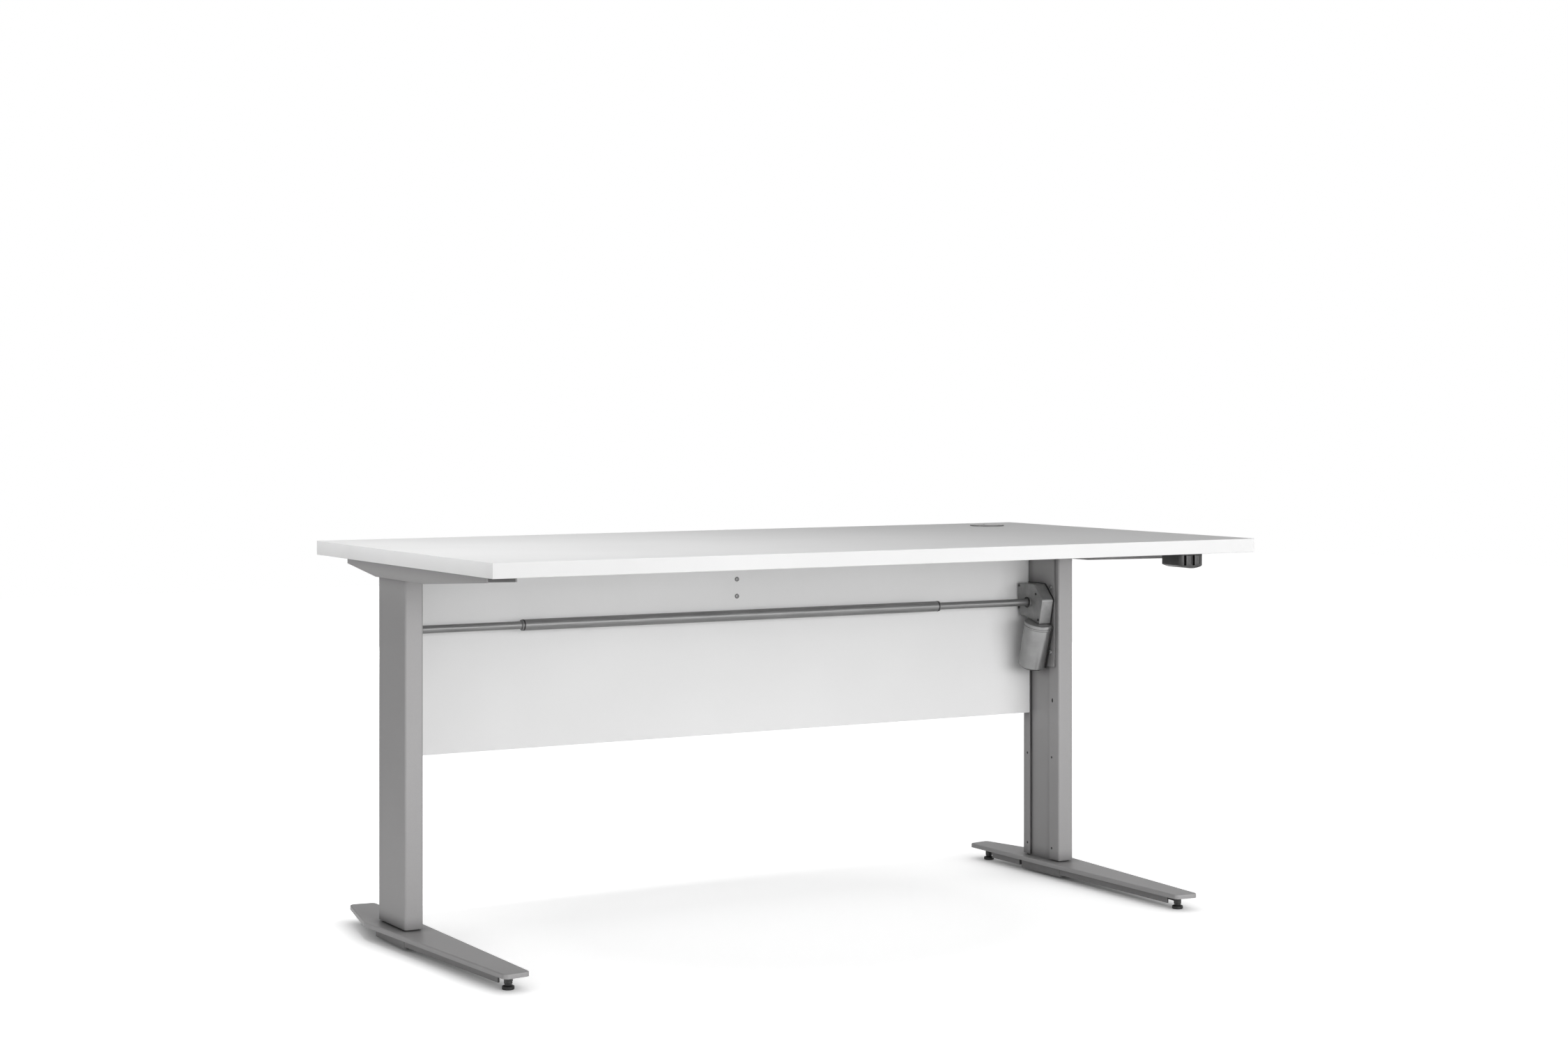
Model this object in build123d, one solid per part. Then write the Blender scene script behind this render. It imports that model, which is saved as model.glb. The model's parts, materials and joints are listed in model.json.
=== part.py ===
from build123d import *
import os
from math import copysign, cos, radians, sin

# An electric sit-stand desk at its lowest height. Millimetres, +Z up, +X to the right, +Y to the back.
# The origin is on the floor, under the middle of the tabletop.

# Tabletop
TOP_WIDTH = 1500.0
TOP_DEPTH = 800.0
TOP_THICKNESS = 25.0
TOP_HEIGHT = 690.0
EDGE_BAND = 2.0
EDGE_ROUND = 1.0

# Cable grommet
GROMMET_INSET = 135.0
GROMMET_SETBACK = 118.0
GROMMET_HOLE_RADIUS = 30.0
GROMMET_FLANGE_RADIUS = 34.5
GROMMET_FLANGE_HEIGHT = 1.6
GROMMET_WALL = 2.4
GROMMET_LENGTH = 22.0
GROMMET_LEDGE = 2.5
GROMMET_CAP_THICKNESS = 4.6
CABLE_SLOT_WIDTH = 16.0
CABLE_SLOT_LENGTH = 19.0

# Outer columns, which rise with the tabletop
COLUMN_INSET = 68.0
COLUMN_SETBACK = 236.5
COLUMN_WIDTH = 34.0
COLUMN_DEPTH = 125.0
COLUMN_WALL = 2.0
COLUMN_ROUND = 4.0
FRONT_LIP = 33.0
REAR_LIP = 24.0
COLUMN_FOOT_GAP = 2.5

# Inner columns, which stay on the feet
INNER_WALL = 2.0
INNER_RETURN = 12.0
INNER_TOP_GAP = 19.5
INNER_ROUND = 3.0

# Glides between the columns
GLIDE_LIP_THICKNESS = 2.2
GLIDE_WALL_THICKNESS = 3.7
GLIDE_CLEARANCE = 0.3
GLIDE_LENGTH = 208.0
GLIDE_START = 8.0
GLIDE_PIN_INSET = 14.0
GLIDE_PIN_FROM_EDGE = 8.2
GLIDE_PIN_RADIUS = 2.5
GLIDE_EDGE_MARGIN = 3.0

# Side rails and column heads
RAIL_WIDTH = 52.5
RAIL_OFFSET = 0.2
RAIL_WALL = 2.5
RAIL_REAR_SETBACK = 43.0
RAIL_FRONT_SETBACK = 123.0
RAIL_DEEP_BEHIND = 53.5
RAIL_DEEP_AHEAD = 174.5
RAIL_DEEP = 31.0
RAIL_TIP = 14.5
RAIL_BEND = 2.2
HEAD_THICKNESS = 3.0
HEAD_MARGIN = 16.0
HEAD_BOLT_SPACING = 24.0
RAIL_SCREW_INSET = 38.0

# Feet
PLATE_THICKNESS = 8.0
PLATE_INNER_REACH = 38.0
PLATE_FRONT_WIDTH = 47.0
PLATE_REAR_WIDTH = 46.0
PLATE_WIDE_WIDTH = 83.0
PLATE_WIDE_BEHIND = 58.5
PLATE_FRONT_REACH = 473.5
PLATE_REAR_REACH = 232.5
PLATE_FRONT_SLANT = 6.0
PLATE_REAR_SLANT = 7.0
PLATE_CORNER = 10.0
PLATE_WIDE_ROUND = 45.0
PLATE_EDGE_ROUND = 2.2
SOCKET_MARGIN = 7.0
SOCKET_FRONT_EXTRA = 17.0
SOCKET_DEPTH = 18.5
SOCKET_FLOOR = 3.0
SOCKET_ROUND = 7.0
SOCKET_CLEARANCE = 0.2
STIFFENER_INSET = 12.0
STIFFENER_WALL = 3.0
STIFFENER_DEEP = 14.0
STIFFENER_FRONT_GAP = 3.5
STIFFENER_REAR_GAP = 23.5

# Levellers
LEVELLER_FROM_EDGE = 26.0
LEVELLER_FRONT_REACH = 438.0
LEVELLER_REAR_REACH = 194.0
PAD_RADIUS = 9.6
PAD_HEIGHT = 7.5
NECK_RADIUS = 6.5
NECK_HEIGHT = 16.0
STUD_RADIUS = 5.0
STUD_LENGTH = 5.5
STUD_END_GAP = 0.5

# Modesty panel
PANEL_THICKNESS = 16.0
PANEL_BEHIND = 39.5
PANEL_TOP_GAP = 5.0
PANEL_BOTTOM_DROP = 372.5
PANEL_RAIL_GAP = 1.0
PANEL_SCREW_DROP = 83.0
PANEL_SCREW_PITCH = 32.0
BRACKET_THICKNESS = 3.0
BRACKET_WIDTH = 34.0
BRACKET_FOOT = 40.0
BRACKET_BELOW = 18.0
END_BRACKET_LEG = 26.0
END_BRACKET_SCREW_SHARE = 0.6
END_BRACKET_HEIGHT = 34.0
END_BRACKET_THICKNESS = 2.0
END_BRACKET_DROPS = (90.0, 320.0)

# Cross shaft
SHAFT_DROP = 147.5
ROD_RADIUS = 7.0
TUBE_RADIUS = 10.0
TUBE_LEFT_GAP = 209.0
TUBE_RIGHT_GAP = 241.0
ROD_OVERLAP = 60.0
RUNNING_GAP = 0.05

# Bevel gear drives in the columns
BEVEL_RADIUS = 10.0
BEVEL_FACE = 5.0
BEVEL_GAP = 0.4
BEVEL_TEETH = 12
BEVEL_TOOTH_CUT = 1.4
BEVEL_CUT_TURN = 45.0
BEVEL_STUB_RADIUS = 3.5
CASE_HALF_DEPTH = 20.0
CASE_ABOVE = 17.5
CASE_BELOW = 27.5
CASE_WEB_GAP = 1.0
CASE_CAVITY_GAP = 1.2
CASE_COVER = 2.5
NECK_HALF = 13.0
NOTCH_HALF = 15.0
NOTCH_BELOW = 17.0

# Spindles and nuts
SPINDLE_RADIUS = 7.0
SPINDLE_END_GAP = 2.0
COLLAR_RADIUS = 10.5
COLLAR_HEIGHT = 3.0
COLLAR_GAP = 0.3
NUT_HEIGHT = 30.0
NUT_HALF_DEPTH = 18.0
NUT_TOP_GAP = 5.0
NUT_WALL_GAP = 1.5

# Plates that carry the gearbox and the bevel cases
GEAR_PLATE = 3.0
GEAR_PLATE_FRONT_INSET = 12.0
GEAR_PLATE_REAR_GAP = 1.0
GEAR_PLATE_TOP_GAP = 1.0
MOTOR_PLATE_BELOW = 126.5
LEFT_PLATE_BELOW = 37.5
PLATE_SCREW_INSET = 23.5
PLATE_SCREW_RISE = 31.0
MOTOR_PLATE_SCREW_DROP = 97.5
SHAFT_HOLE_GAP = 0.5

# Gearbox: corners are (towards the back, up) from the shaft
GEARBOX_THICKNESS = 28.0
GEARBOX_COVER = 4.0
GEARBOX_UPPER_CORNERS = ((36.0, -13.0), (36.0, 36.5), (-21.0, 36.5), (-50.5, 6.5))
GEARBOX_LOWER_CORNER = (27.5, -28.5)
GEARBOX_FRONT_REACH = 14.0
GEARBOX_REAR_REACH = 37.0
GEARBOX_ROUND = 1.6
COVER_SCREWS = ((-27.5, 17.5), (-36.0, -33.0), (31.0, 31.5), (31.0, -12.0))
HUB_RADIUS = 11.0
HUB_HEIGHT = 2.0

# Worm drive and motor. The motor hangs from the gearbox, tilted towards the back.
WORM_DISTANCE = 35.0
WORM_RADIUS = 6.5
WORM_LENGTH = 24.0
WORM_ABOVE = 10.0
WORM_SHAFT_RADIUS = 4.0
WORM_CAVITY_GAP = 0.7
WHEEL_GAP = 0.4
WHEEL_WIDTH = 8.0
WHEEL_TEETH = 36
WHEEL_TOOTH_CUT = 1.8
WHEEL_CAVITY_GAP = 0.8
WHEEL_HUB_RADIUS = 11.5
WHEEL_HUB_LENGTH = 13.0
MOTOR_TILT = 16.0
MOTOR_START = 30.0
MOTOR_RADIUS = 27.5
MOTOR_FLAT = 19.0
MOTOR_FLAT_GAP = 0.3
MOTOR_WALL = 2.5
MOTOR_CAP_LENGTH = 11.0
MOTOR_CAP_PROUD = 0.6
MOTOR_CAN_LENGTH = 81.0
MOTOR_BOSS_RADIUS = 7.0
MOTOR_BOSS_LENGTH = 8.0
ARMATURE_RADIUS = 12.0
ARMATURE_LENGTH = 40.0
ARMATURE_GAP = 12.0

# Hand switch
SWITCH_INSET = 137.0
SWITCH_SETBACK = 8.0
SWITCH_WIDTH = 54.0
SWITCH_DEPTH = 54.0
SWITCH_SIDE_HEIGHT = 20.0
SWITCH_MID_HEIGHT = 26.0
SWITCH_CORNER = 5.0
SWITCH_TAB = 12.0
SWITCH_TAB_THICKNESS = 4.0
SWITCH_TAB_WIDTH = 44.0
BUTTON_WIDTH = 17.0
BUTTON_HEIGHT = 14.0
BUTTON_PITCH = 19.0
BUTTON_DROP = 11.5
BUTTON_DEPTH = 12.0
BUTTON_PROUD = 3.0
BUTTON_TRAVEL = 2.5
BUTTON_GAP = 0.3
BUTTON_ROUND = 1.0

# Control box behind the modesty panel
BOX_INSET = 320.0
BOX_SETBACK = 108.0
BOX_WIDTH = 160.0
BOX_DEPTH = 92.0
BOX_HEIGHT = 38.0
BOX_WALL = 2.0
BOX_ROUND = 4.0
LID_THICKNESS = 2.0
LID_EAR = 14.0
BOARD_THICKNESS = 1.6
BOARD_MARGIN = 8.0
POST_RADIUS = 3.5
POST_HEIGHT = 5.0
TRANSFORMER_WIDTH = 46.0
TRANSFORMER_DEPTH = 40.0
TRANSFORMER_HEIGHT = 22.0
INLET_WIDTH = 24.0
INLET_HEIGHT = 16.0
JACK_WIDTH = 13.0
JACK_HEIGHT = 12.0
SOCKET_PITCH = 30.0

# Screws: head radius, head height, shank radius and shank length
WOOD_SCREW = (4.0, 2.5, 2.0, 15.0)
HEAD_BOLT = (5.0, 4.0, 3.0, 18.0)
PLATE_SCREW = (4.6, 2.8, 2.4, 6.0)
PANEL_SCREW = (4.4, 2.0, 2.4, 22.0)
END_BRACKET_SCREW = (3.6, 2.0, 2.0, 11.0)
COVER_SCREW = (2.6, 1.2, 1.5, 9.0)
SCREW_GAP = 0.15
DRIVE_SHARE = 0.5

# Levels and planes that follow from the sizes above
top_under = TOP_HEIGHT - TOP_THICKNESS
rail_under = top_under - RAIL_WALL
column_top = rail_under - HEAD_THICKNESS
plate_under = PAD_HEIGHT + NECK_HEIGHT
plate_top = plate_under + PLATE_THICKNESS
column_bottom = plate_top + COLUMN_FOOT_GAP
socket_bottom = plate_under - SOCKET_DEPTH
inner_bottom = socket_bottom + SOCKET_FLOOR
inner_top = column_top - INNER_TOP_GAP
shaft_z = TOP_HEIGHT - SHAFT_DROP

column_x = TOP_WIDTH / 2 - COLUMN_INSET
column_y = TOP_DEPTH / 2 - COLUMN_SETBACK
face_x = column_x - COLUMN_WIDTH / 2
lip_back_x = face_x + COLUMN_WALL
wall_x = column_x + COLUMN_WIDTH / 2 - COLUMN_WALL
column_front = column_y - COLUMN_DEPTH / 2
column_rear = column_y + COLUMN_DEPTH / 2
slot_front = column_front + FRONT_LIP
slot_rear = column_rear - REAR_LIP

lip_gap = GLIDE_LIP_THICKNESS + GLIDE_CLEARANCE
wall_gap = GLIDE_WALL_THICKNESS + GLIDE_CLEARANCE
inner_width = COLUMN_WIDTH - 2 * COLUMN_WALL - 2 * lip_gap
inner_depth = COLUMN_DEPTH - 2 * COLUMN_WALL - 2 * wall_gap
web_x = lip_back_x + lip_gap
web_back_x = web_x + INNER_WALL
nut_outer_x = wall_x - NUT_WALL_GAP
spindle_x = (web_back_x + nut_outer_x) / 2

plate_face_x = face_x - GEAR_PLATE
gearbox_face_x = plate_face_x - GEARBOX_THICKNESS
motor_x = plate_face_x - MOTOR_FLAT_GAP - MOTOR_FLAT
tilt = radians(MOTOR_TILT)
worm_y = column_y - WORM_DISTANCE * cos(tilt)
worm_z = shaft_z - WORM_DISTANCE * sin(tilt)
motor_end = MOTOR_START + MOTOR_CAP_LENGTH + MOTOR_CAN_LENGTH
worm_below = WORM_LENGTH - WORM_ABOVE

gear_back_x = spindle_x - BEVEL_RADIUS
gear_back_z = shaft_z - BEVEL_RADIUS
case_bottom = shaft_z - CASE_BELOW
case_top = shaft_z + CASE_ABOVE
cavity_half = BEVEL_RADIUS + CASE_CAVITY_GAP
nut_top = case_bottom - NUT_TOP_GAP
spindle_bottom = inner_bottom + SPINDLE_END_GAP

panel_front_y = column_y + PANEL_BEHIND
panel_rear_y = panel_front_y + PANEL_THICKNESS
panel_top = top_under - PANEL_TOP_GAP
panel_screw_levels = (TOP_HEIGHT - PANEL_SCREW_DROP, TOP_HEIGHT - PANEL_SCREW_DROP - PANEL_SCREW_PITCH)
tube_left = TUBE_LEFT_GAP - face_x
tube_right = face_x - TUBE_RIGHT_GAP
grommet_x = TOP_WIDTH / 2 - GROMMET_INSET
grommet_y = TOP_DEPTH / 2 - GROMMET_SETBACK
rail_x = column_x - RAIL_OFFSET
rail_rear = TOP_DEPTH / 2 - RAIL_REAR_SETBACK
rail_front = RAIL_FRONT_SETBACK - TOP_DEPTH / 2
plate_inner_x = column_x - PLATE_INNER_REACH
plate_wide_x = plate_inner_x + PLATE_WIDE_WIDTH
plate_wide_y = column_y + PLATE_WIDE_BEHIND
plate_front_y = column_y - PLATE_FRONT_REACH
plate_rear_y = column_y + PLATE_REAR_REACH
leveller_x = plate_inner_x + LEVELLER_FROM_EDGE
leveller_front_y = column_y - LEVELLER_FRONT_REACH
leveller_rear_y = column_y + LEVELLER_REAR_REACH
switch_x = TOP_WIDTH / 2 - SWITCH_INSET
switch_front_y = SWITCH_SETBACK - TOP_DEPTH / 2
box_x = TOP_WIDTH / 2 - BOX_INSET
box_y = TOP_DEPTH / 2 - BOX_SETBACK
lid_under = top_under - LID_THICKNESS
box_bottom = lid_under - BOX_HEIGHT
button_levels = top_under - BUTTON_DROP


# Shapes shared by many pieces
def block(x0, x1, y0, y1, z0, z1):
    """A box given by its lowest and highest corners."""
    return Pos((x0 + x1) / 2, (y0 + y1) / 2, (z0 + z1) / 2) * Box(x1 - x0, y1 - y0, z1 - z0)


def rod_x(x0, x1, y, z, radius):
    """A round bar along X."""
    return Pos((x0 + x1) / 2, y, z) * Rot(0, 90, 0) * Cylinder(radius, x1 - x0)


def rod_z(x, y, z0, z1, radius):
    """A round bar along Z."""
    return Pos(x, y, (z0 + z1) / 2) * Cylinder(radius, z1 - z0)


def prism_x(corners, x0, x1):
    """A (Y, Z) outline pushed along X."""
    outline = Plane.YZ.offset(x0) * Polygon(*corners, align=None)
    return extrude(outline, amount=x1 - x0, dir=(1, 0, 0))


def prism_z(outline, z0, z1):
    """An (X, Y) sketch pushed along Z."""
    return extrude(Pos(0, 0, z0) * outline, amount=z1 - z0, dir=(0, 0, 1))


def left(shape):
    """The same piece on the left side of the desk."""
    return mirror(shape, about=Plane.YZ)


def screw(sizes, head_sides=0):
    """A screw along +Z, with the underside of its head at z = 0 and a hexagon drive."""
    head_radius, head_height, shank_radius, shank_length = sizes
    outline = RegularPolygon(head_radius, head_sides) if head_sides else Circle(head_radius)
    head = prism_z(outline, -head_height, 0)
    drive = RegularPolygon(head_radius * DRIVE_SHARE, 6)
    head -= prism_z(drive, -head_height, -head_height * DRIVE_SHARE)
    return head + rod_z(0, 0, 0, shank_length, shank_radius)


def screw_hole(sizes, depth):
    """The clearance hole for a screw, from z = 0 up."""
    return rod_z(0, 0, 0, depth, sizes[2] + SCREW_GAP)


def group(pieces):
    """Separate solids that share one node."""
    return Compound(children=[Solid(p.solid().wrapped) for p in pieces])


def save(name, shape):
    export_step(shape, f"parts/{name}.step")


# Places of the screws that go up into the tabletop: x, y and the level of the head's underside
def rail_screw_places():
    places = []
    for side in (-1, 1):
        for y in (rail_front + RAIL_SCREW_INSET, rail_rear - RAIL_SCREW_INSET):
            places.append((side * rail_x, y, rail_under))
    return places


def bracket_screw_places():
    y = panel_rear_y + BRACKET_THICKNESS + BRACKET_FOOT / 2
    return [(side * BRACKET_WIDTH / 4, y, top_under - BRACKET_THICKNESS) for side in (-1, 1)]


def lid_screw_places():
    reach = BOX_WIDTH / 2 + LID_EAR / 2
    across = BOX_DEPTH / 4
    return [(box_x + a * reach, box_y + b * across, lid_under) for a in (-1, 1) for b in (-1, 1)]


def switch_screw_places():
    y = switch_front_y + SWITCH_DEPTH + SWITCH_TAB / 2
    return [(switch_x + a * SWITCH_TAB_WIDTH / 4, y, top_under - SWITCH_TAB_THICKNESS) for a in (-1, 1)]


def wood_screw_places():
    return rail_screw_places() + bracket_screw_places() + lid_screw_places() + switch_screw_places()


def head_bolt_places(side):
    front = column_front - HEAD_MARGIN / 2
    rear = column_rear + HEAD_MARGIN / 2
    middle = side * column_x
    return [(middle + a * HEAD_BOLT_SPACING / 2, y, column_top) for a in (-1, 1) for y in (front, rear)]


def at(place, shape):
    return Pos(*place) * shape


# Tabletop and grommet
def make_tabletop():
    half_x = TOP_WIDTH / 2 - EDGE_BAND
    half_y = TOP_DEPTH / 2 - EDGE_BAND
    board = block(-half_x, half_x, -half_y, half_y, top_under, TOP_HEIGHT)
    board -= rod_z(grommet_x, grommet_y, top_under, TOP_HEIGHT, GROMMET_HOLE_RADIUS)
    seat = TOP_HEIGHT - GROMMET_FLANGE_HEIGHT
    board -= rod_z(grommet_x, grommet_y, seat, TOP_HEIGHT, GROMMET_FLANGE_RADIUS + SCREW_GAP)
    for place in wood_screw_places():
        board -= at(place, screw_hole(WOOD_SCREW, WOOD_SCREW[3] + SCREW_GAP))
    for side in (-1, 1):
        for place in head_bolt_places(side):
            board -= at(place, screw_hole(HEAD_BOLT, HEAD_BOLT[3] + SCREW_GAP))
    return board


def make_edge_bands():
    half_x = TOP_WIDTH / 2
    half_y = TOP_DEPTH / 2
    bands = []
    for side in (-1, 1):
        y0, y1 = sorted((side * half_y, side * (half_y - EDGE_BAND)))
        band = block(-half_x, half_x, y0, y1, top_under, TOP_HEIGHT)
        outer = band.faces().filter_by(Axis.Y).sort_by(Axis.Y)[0 if side < 0 else -1]
        bands.append(fillet(outer.edges(), EDGE_ROUND))
    for side in (-1, 1):
        x0, x1 = sorted((side * half_x, side * (half_x - EDGE_BAND)))
        band = block(x0, x1, EDGE_BAND - half_y, half_y - EDGE_BAND, top_under, TOP_HEIGHT)
        outer = band.faces().filter_by(Axis.X).sort_by(Axis.X)[0 if side < 0 else -1]
        bands.append(fillet(outer.edges().filter_by(Axis.Y), EDGE_ROUND))
    return group(bands)


def make_grommet_liner():
    outer = GROMMET_HOLE_RADIUS - SCREW_GAP
    inner = outer - GROMMET_WALL
    bottom = TOP_HEIGHT - GROMMET_LENGTH
    flange = rod_z(0, 0, TOP_HEIGHT - GROMMET_FLANGE_HEIGHT, TOP_HEIGHT, GROMMET_FLANGE_RADIUS)
    flange = chamfer(flange.edges().sort_by(Axis.Z)[-1], GROMMET_FLANGE_HEIGHT / 2)
    liner = flange + rod_z(0, 0, bottom, TOP_HEIGHT, outer)
    liner -= rod_z(0, 0, TOP_HEIGHT - GROMMET_CAP_THICKNESS, TOP_HEIGHT, inner)
    liner -= rod_z(0, 0, bottom, TOP_HEIGHT, inner - GROMMET_LEDGE)
    return Pos(grommet_x, grommet_y, 0) * liner


def make_grommet_cap():
    radius = GROMMET_HOLE_RADIUS - SCREW_GAP - GROMMET_WALL - GLIDE_CLEARANCE
    bottom = TOP_HEIGHT - GROMMET_CAP_THICKNESS
    cap = rod_z(0, 0, bottom, TOP_HEIGHT, radius)
    half = CABLE_SLOT_WIDTH / 2
    slot_end = radius - CABLE_SLOT_LENGTH + half
    slot = block(-half, half, slot_end, radius + half, bottom, TOP_HEIGHT)
    slot += rod_z(0, slot_end, bottom, TOP_HEIGHT, half)
    return Pos(grommet_x, grommet_y, 0) * (cap - slot)


# Columns
def column_section(width, depth, wall, corner):
    """A rounded tube section about the column's middle."""
    inner_corner = max(corner - wall, wall / 4)
    tube = RectangleRounded(width, depth, corner)
    return tube - RectangleRounded(width - 2 * wall, depth - 2 * wall, inner_corner)


def glide_pin_places():
    levels = [column_bottom + GLIDE_START + inset for inset in
              (GLIDE_PIN_INSET, GLIDE_LENGTH - GLIDE_PIN_INSET)]
    edges = (slot_front - GLIDE_PIN_FROM_EDGE, slot_rear + GLIDE_PIN_FROM_EDGE)
    return [(y, z) for y in edges for z in levels]


def plate_screw_places(side):
    """Screws in the front lip, as (y, z)."""
    drop = MOTOR_PLATE_SCREW_DROP if side > 0 else PLATE_SCREW_RISE
    y = column_front + PLATE_SCREW_INSET
    return [(y, shaft_z + PLATE_SCREW_RISE), (y, shaft_z - drop)]


def make_outer_column(side):
    section = column_section(COLUMN_WIDTH, COLUMN_DEPTH, COLUMN_WALL, COLUMN_ROUND)
    tube = prism_z(Pos(column_x, column_y) * section, column_bottom, column_top)
    tube -= block(face_x, lip_back_x, slot_front, slot_rear, column_bottom, column_top)
    for y, z in glide_pin_places():
        tube -= rod_x(face_x, lip_back_x, y, z, GLIDE_PIN_RADIUS + RUNNING_GAP)
    for y, z in plate_screw_places(side):
        tube -= rod_x(face_x, lip_back_x, y, z, PLATE_SCREW[2] + SCREW_GAP)
    return tube if side > 0 else left(tube)


def inner_section(grow=0.0):
    """The solid outline of the inner column, in plan."""
    outline = RectangleRounded(inner_width + 2 * grow, inner_depth + 2 * grow, INNER_ROUND)
    return Pos(web_x + inner_width / 2, column_y) * outline


def make_inner_column():
    section = column_section(inner_width, inner_depth, INNER_WALL, INNER_ROUND)
    tube = prism_z(Pos(web_x + inner_width / 2, column_y) * section, inner_bottom, inner_top)
    open_half = inner_depth / 2 - INNER_RETURN
    back = web_x + inner_width
    tube -= block(back - INNER_WALL, back, column_y - open_half, column_y + open_half,
                  inner_bottom, inner_top)
    notch_bottom = shaft_z - NOTCH_BELOW
    tube -= block(web_x, web_back_x, column_y - NOTCH_HALF, column_y + NOTCH_HALF, notch_bottom, inner_top)
    return tube


def make_glides():
    """Two strips, each bent round one corner of the inner column."""
    z0 = column_bottom + GLIDE_START
    z1 = z0 + GLIDE_LENGTH
    relief = COLUMN_ROUND - COLUMN_WALL + RUNNING_GAP
    x0 = lip_back_x
    x1 = lip_back_x + GLIDE_LIP_THICKNESS
    x2 = wall_x - relief
    strips = []
    for edge, inside, towards in (
        (slot_front, column_front + COLUMN_WALL, 1),
        (slot_rear, column_rear - COLUMN_WALL, -1),
    ):
        lip_y = sorted((inside + towards * relief, edge - towards * GLIDE_EDGE_MARGIN))
        wall_y = sorted((inside, inside + towards * GLIDE_WALL_THICKNESS))
        strip = block(x0, x1, *lip_y, z0, z1) + block(x1, x2, *wall_y, z0, z1)
        for y, z in glide_pin_places():
            strip -= rod_x(x0, x1, y, z, GLIDE_PIN_RADIUS + RUNNING_GAP)
        strips.append(strip)
    return strips


def make_glide_pins():
    pins = [rod_x(face_x, lip_back_x + GLIDE_LIP_THICKNESS, y, z, GLIDE_PIN_RADIUS)
            for y, z in glide_pin_places()]
    return group(pins + [left(pin) for pin in pins])


# Side rails and column heads
def make_side_rail(side):
    profile = (
        (rail_rear, top_under),
        (rail_rear, top_under - RAIL_TIP),
        (column_y + RAIL_DEEP_BEHIND, top_under - RAIL_DEEP),
        (column_y - RAIL_DEEP_AHEAD, top_under - RAIL_DEEP),
        (rail_front, top_under - RAIL_TIP),
        (rail_front, top_under),
    )
    x0 = rail_x - RAIL_WIDTH / 2
    x1 = rail_x + RAIL_WIDTH / 2
    rail = prism_x(profile, x0, x1)
    bends = rail.faces().sort_by(Axis.Z)[-1].edges().filter_by(Axis.Y)
    rail = fillet(bends, RAIL_BEND)
    rail -= block(x0 + RAIL_WALL, x1 - RAIL_WALL, rail_front, rail_rear, top_under - RAIL_DEEP, rail_under)
    if side < 0:
        rail = left(rail)
    for place in rail_screw_places():
        rail -= at(place, screw_hole(WOOD_SCREW, RAIL_WALL))
    for place in head_bolt_places(side):
        rail -= at(place, screw_hole(HEAD_BOLT, HEAD_BOLT[3]))
    return rail


def make_column_head(side):
    half = RAIL_WIDTH / 2 - RAIL_WALL - GLIDE_CLEARANCE
    y0 = column_front - HEAD_MARGIN
    y1 = column_rear + HEAD_MARGIN
    head = block(rail_x - half, rail_x + half, y0, y1, column_top, rail_under)
    if side < 0:
        head = left(head)
    for place in head_bolt_places(side):
        head -= at(place, screw_hole(HEAD_BOLT, HEAD_THICKNESS))
    return head


# Feet
def plate_corners():
    return [
        (plate_inner_x, plate_front_y + PLATE_FRONT_SLANT),
        (plate_inner_x + PLATE_FRONT_WIDTH, plate_front_y),
        (plate_wide_x, plate_wide_y),
        (plate_inner_x + PLATE_REAR_WIDTH, plate_rear_y),
        (plate_inner_x, plate_rear_y - PLATE_REAR_SLANT),
    ]


def outer_edge_x(y):
    """X of the foot plate's outer edge at a given Y."""
    end_width, end_y = PLATE_FRONT_WIDTH, plate_front_y
    if y > plate_wide_y:
        end_width, end_y = PLATE_REAR_WIDTH, plate_rear_y
    share = (y - plate_wide_y) / (end_y - plate_wide_y)
    return plate_wide_x + share * (end_width - PLATE_WIDE_WIDTH)


def make_foot_plate():
    outline = Polygon(*plate_corners(), align=None)
    ends = outline.vertices().sort_by(Axis.X)[:-1]
    outline = fillet(ends, PLATE_CORNER)
    widest = outline.vertices().sort_by(Axis.X)[-1]
    outline = fillet(widest, PLATE_WIDE_ROUND)
    plate = prism_z(outline, plate_under, plate_top)
    plate = fillet(plate.faces().sort_by(Axis.Z)[-1].edges(), PLATE_EDGE_ROUND)
    plate -= prism_z(inner_section(SOCKET_CLEARANCE), plate_under, plate_top)
    for y in (leveller_front_y, leveller_rear_y):
        stud_top = plate_under + STUD_LENGTH + STUD_END_GAP
        plate -= rod_z(leveller_x, y, plate_under, stud_top, STUD_RADIUS + RUNNING_GAP)
    return plate


def socket_reach():
    return column_front - SOCKET_FRONT_EXTRA, column_rear


def make_foot_socket():
    y0, y1 = socket_reach()
    width = COLUMN_WIDTH + 2 * SOCKET_MARGIN
    outline = Pos(column_x, (y0 + y1) / 2) * RectangleRounded(width, y1 - y0, SOCKET_ROUND)
    socket = prism_z(outline, socket_bottom, plate_under)
    return socket - prism_z(inner_section(SOCKET_CLEARANCE), inner_bottom, plate_under)


def stiffener(y_deep, y_tip, deep_edge_x):
    """A channel under the foot plate, closed at the socket's end. Its outer wall runs in from deep_edge_x."""
    inner = plate_inner_x + STIFFENER_INSET
    wall = STIFFENER_WALL
    deep_x = deep_edge_x - STIFFENER_INSET
    tip_x = outer_edge_x(y_tip) - STIFFENER_INSET
    plan = Polygon((inner, y_deep), (deep_x, y_deep), (tip_x, y_tip), (inner, y_tip), align=None)
    closed_y = y_deep + copysign(wall, y_tip - y_deep)
    hollow = Polygon((inner + wall, closed_y), (deep_x - wall, closed_y), (tip_x - wall, y_tip),
                     (inner + wall, y_tip), align=None)
    channel = prism_z(plan, plate_under - STIFFENER_DEEP, plate_under)
    return channel - prism_z(hollow, plate_under - STIFFENER_DEEP, plate_under - wall)


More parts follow.
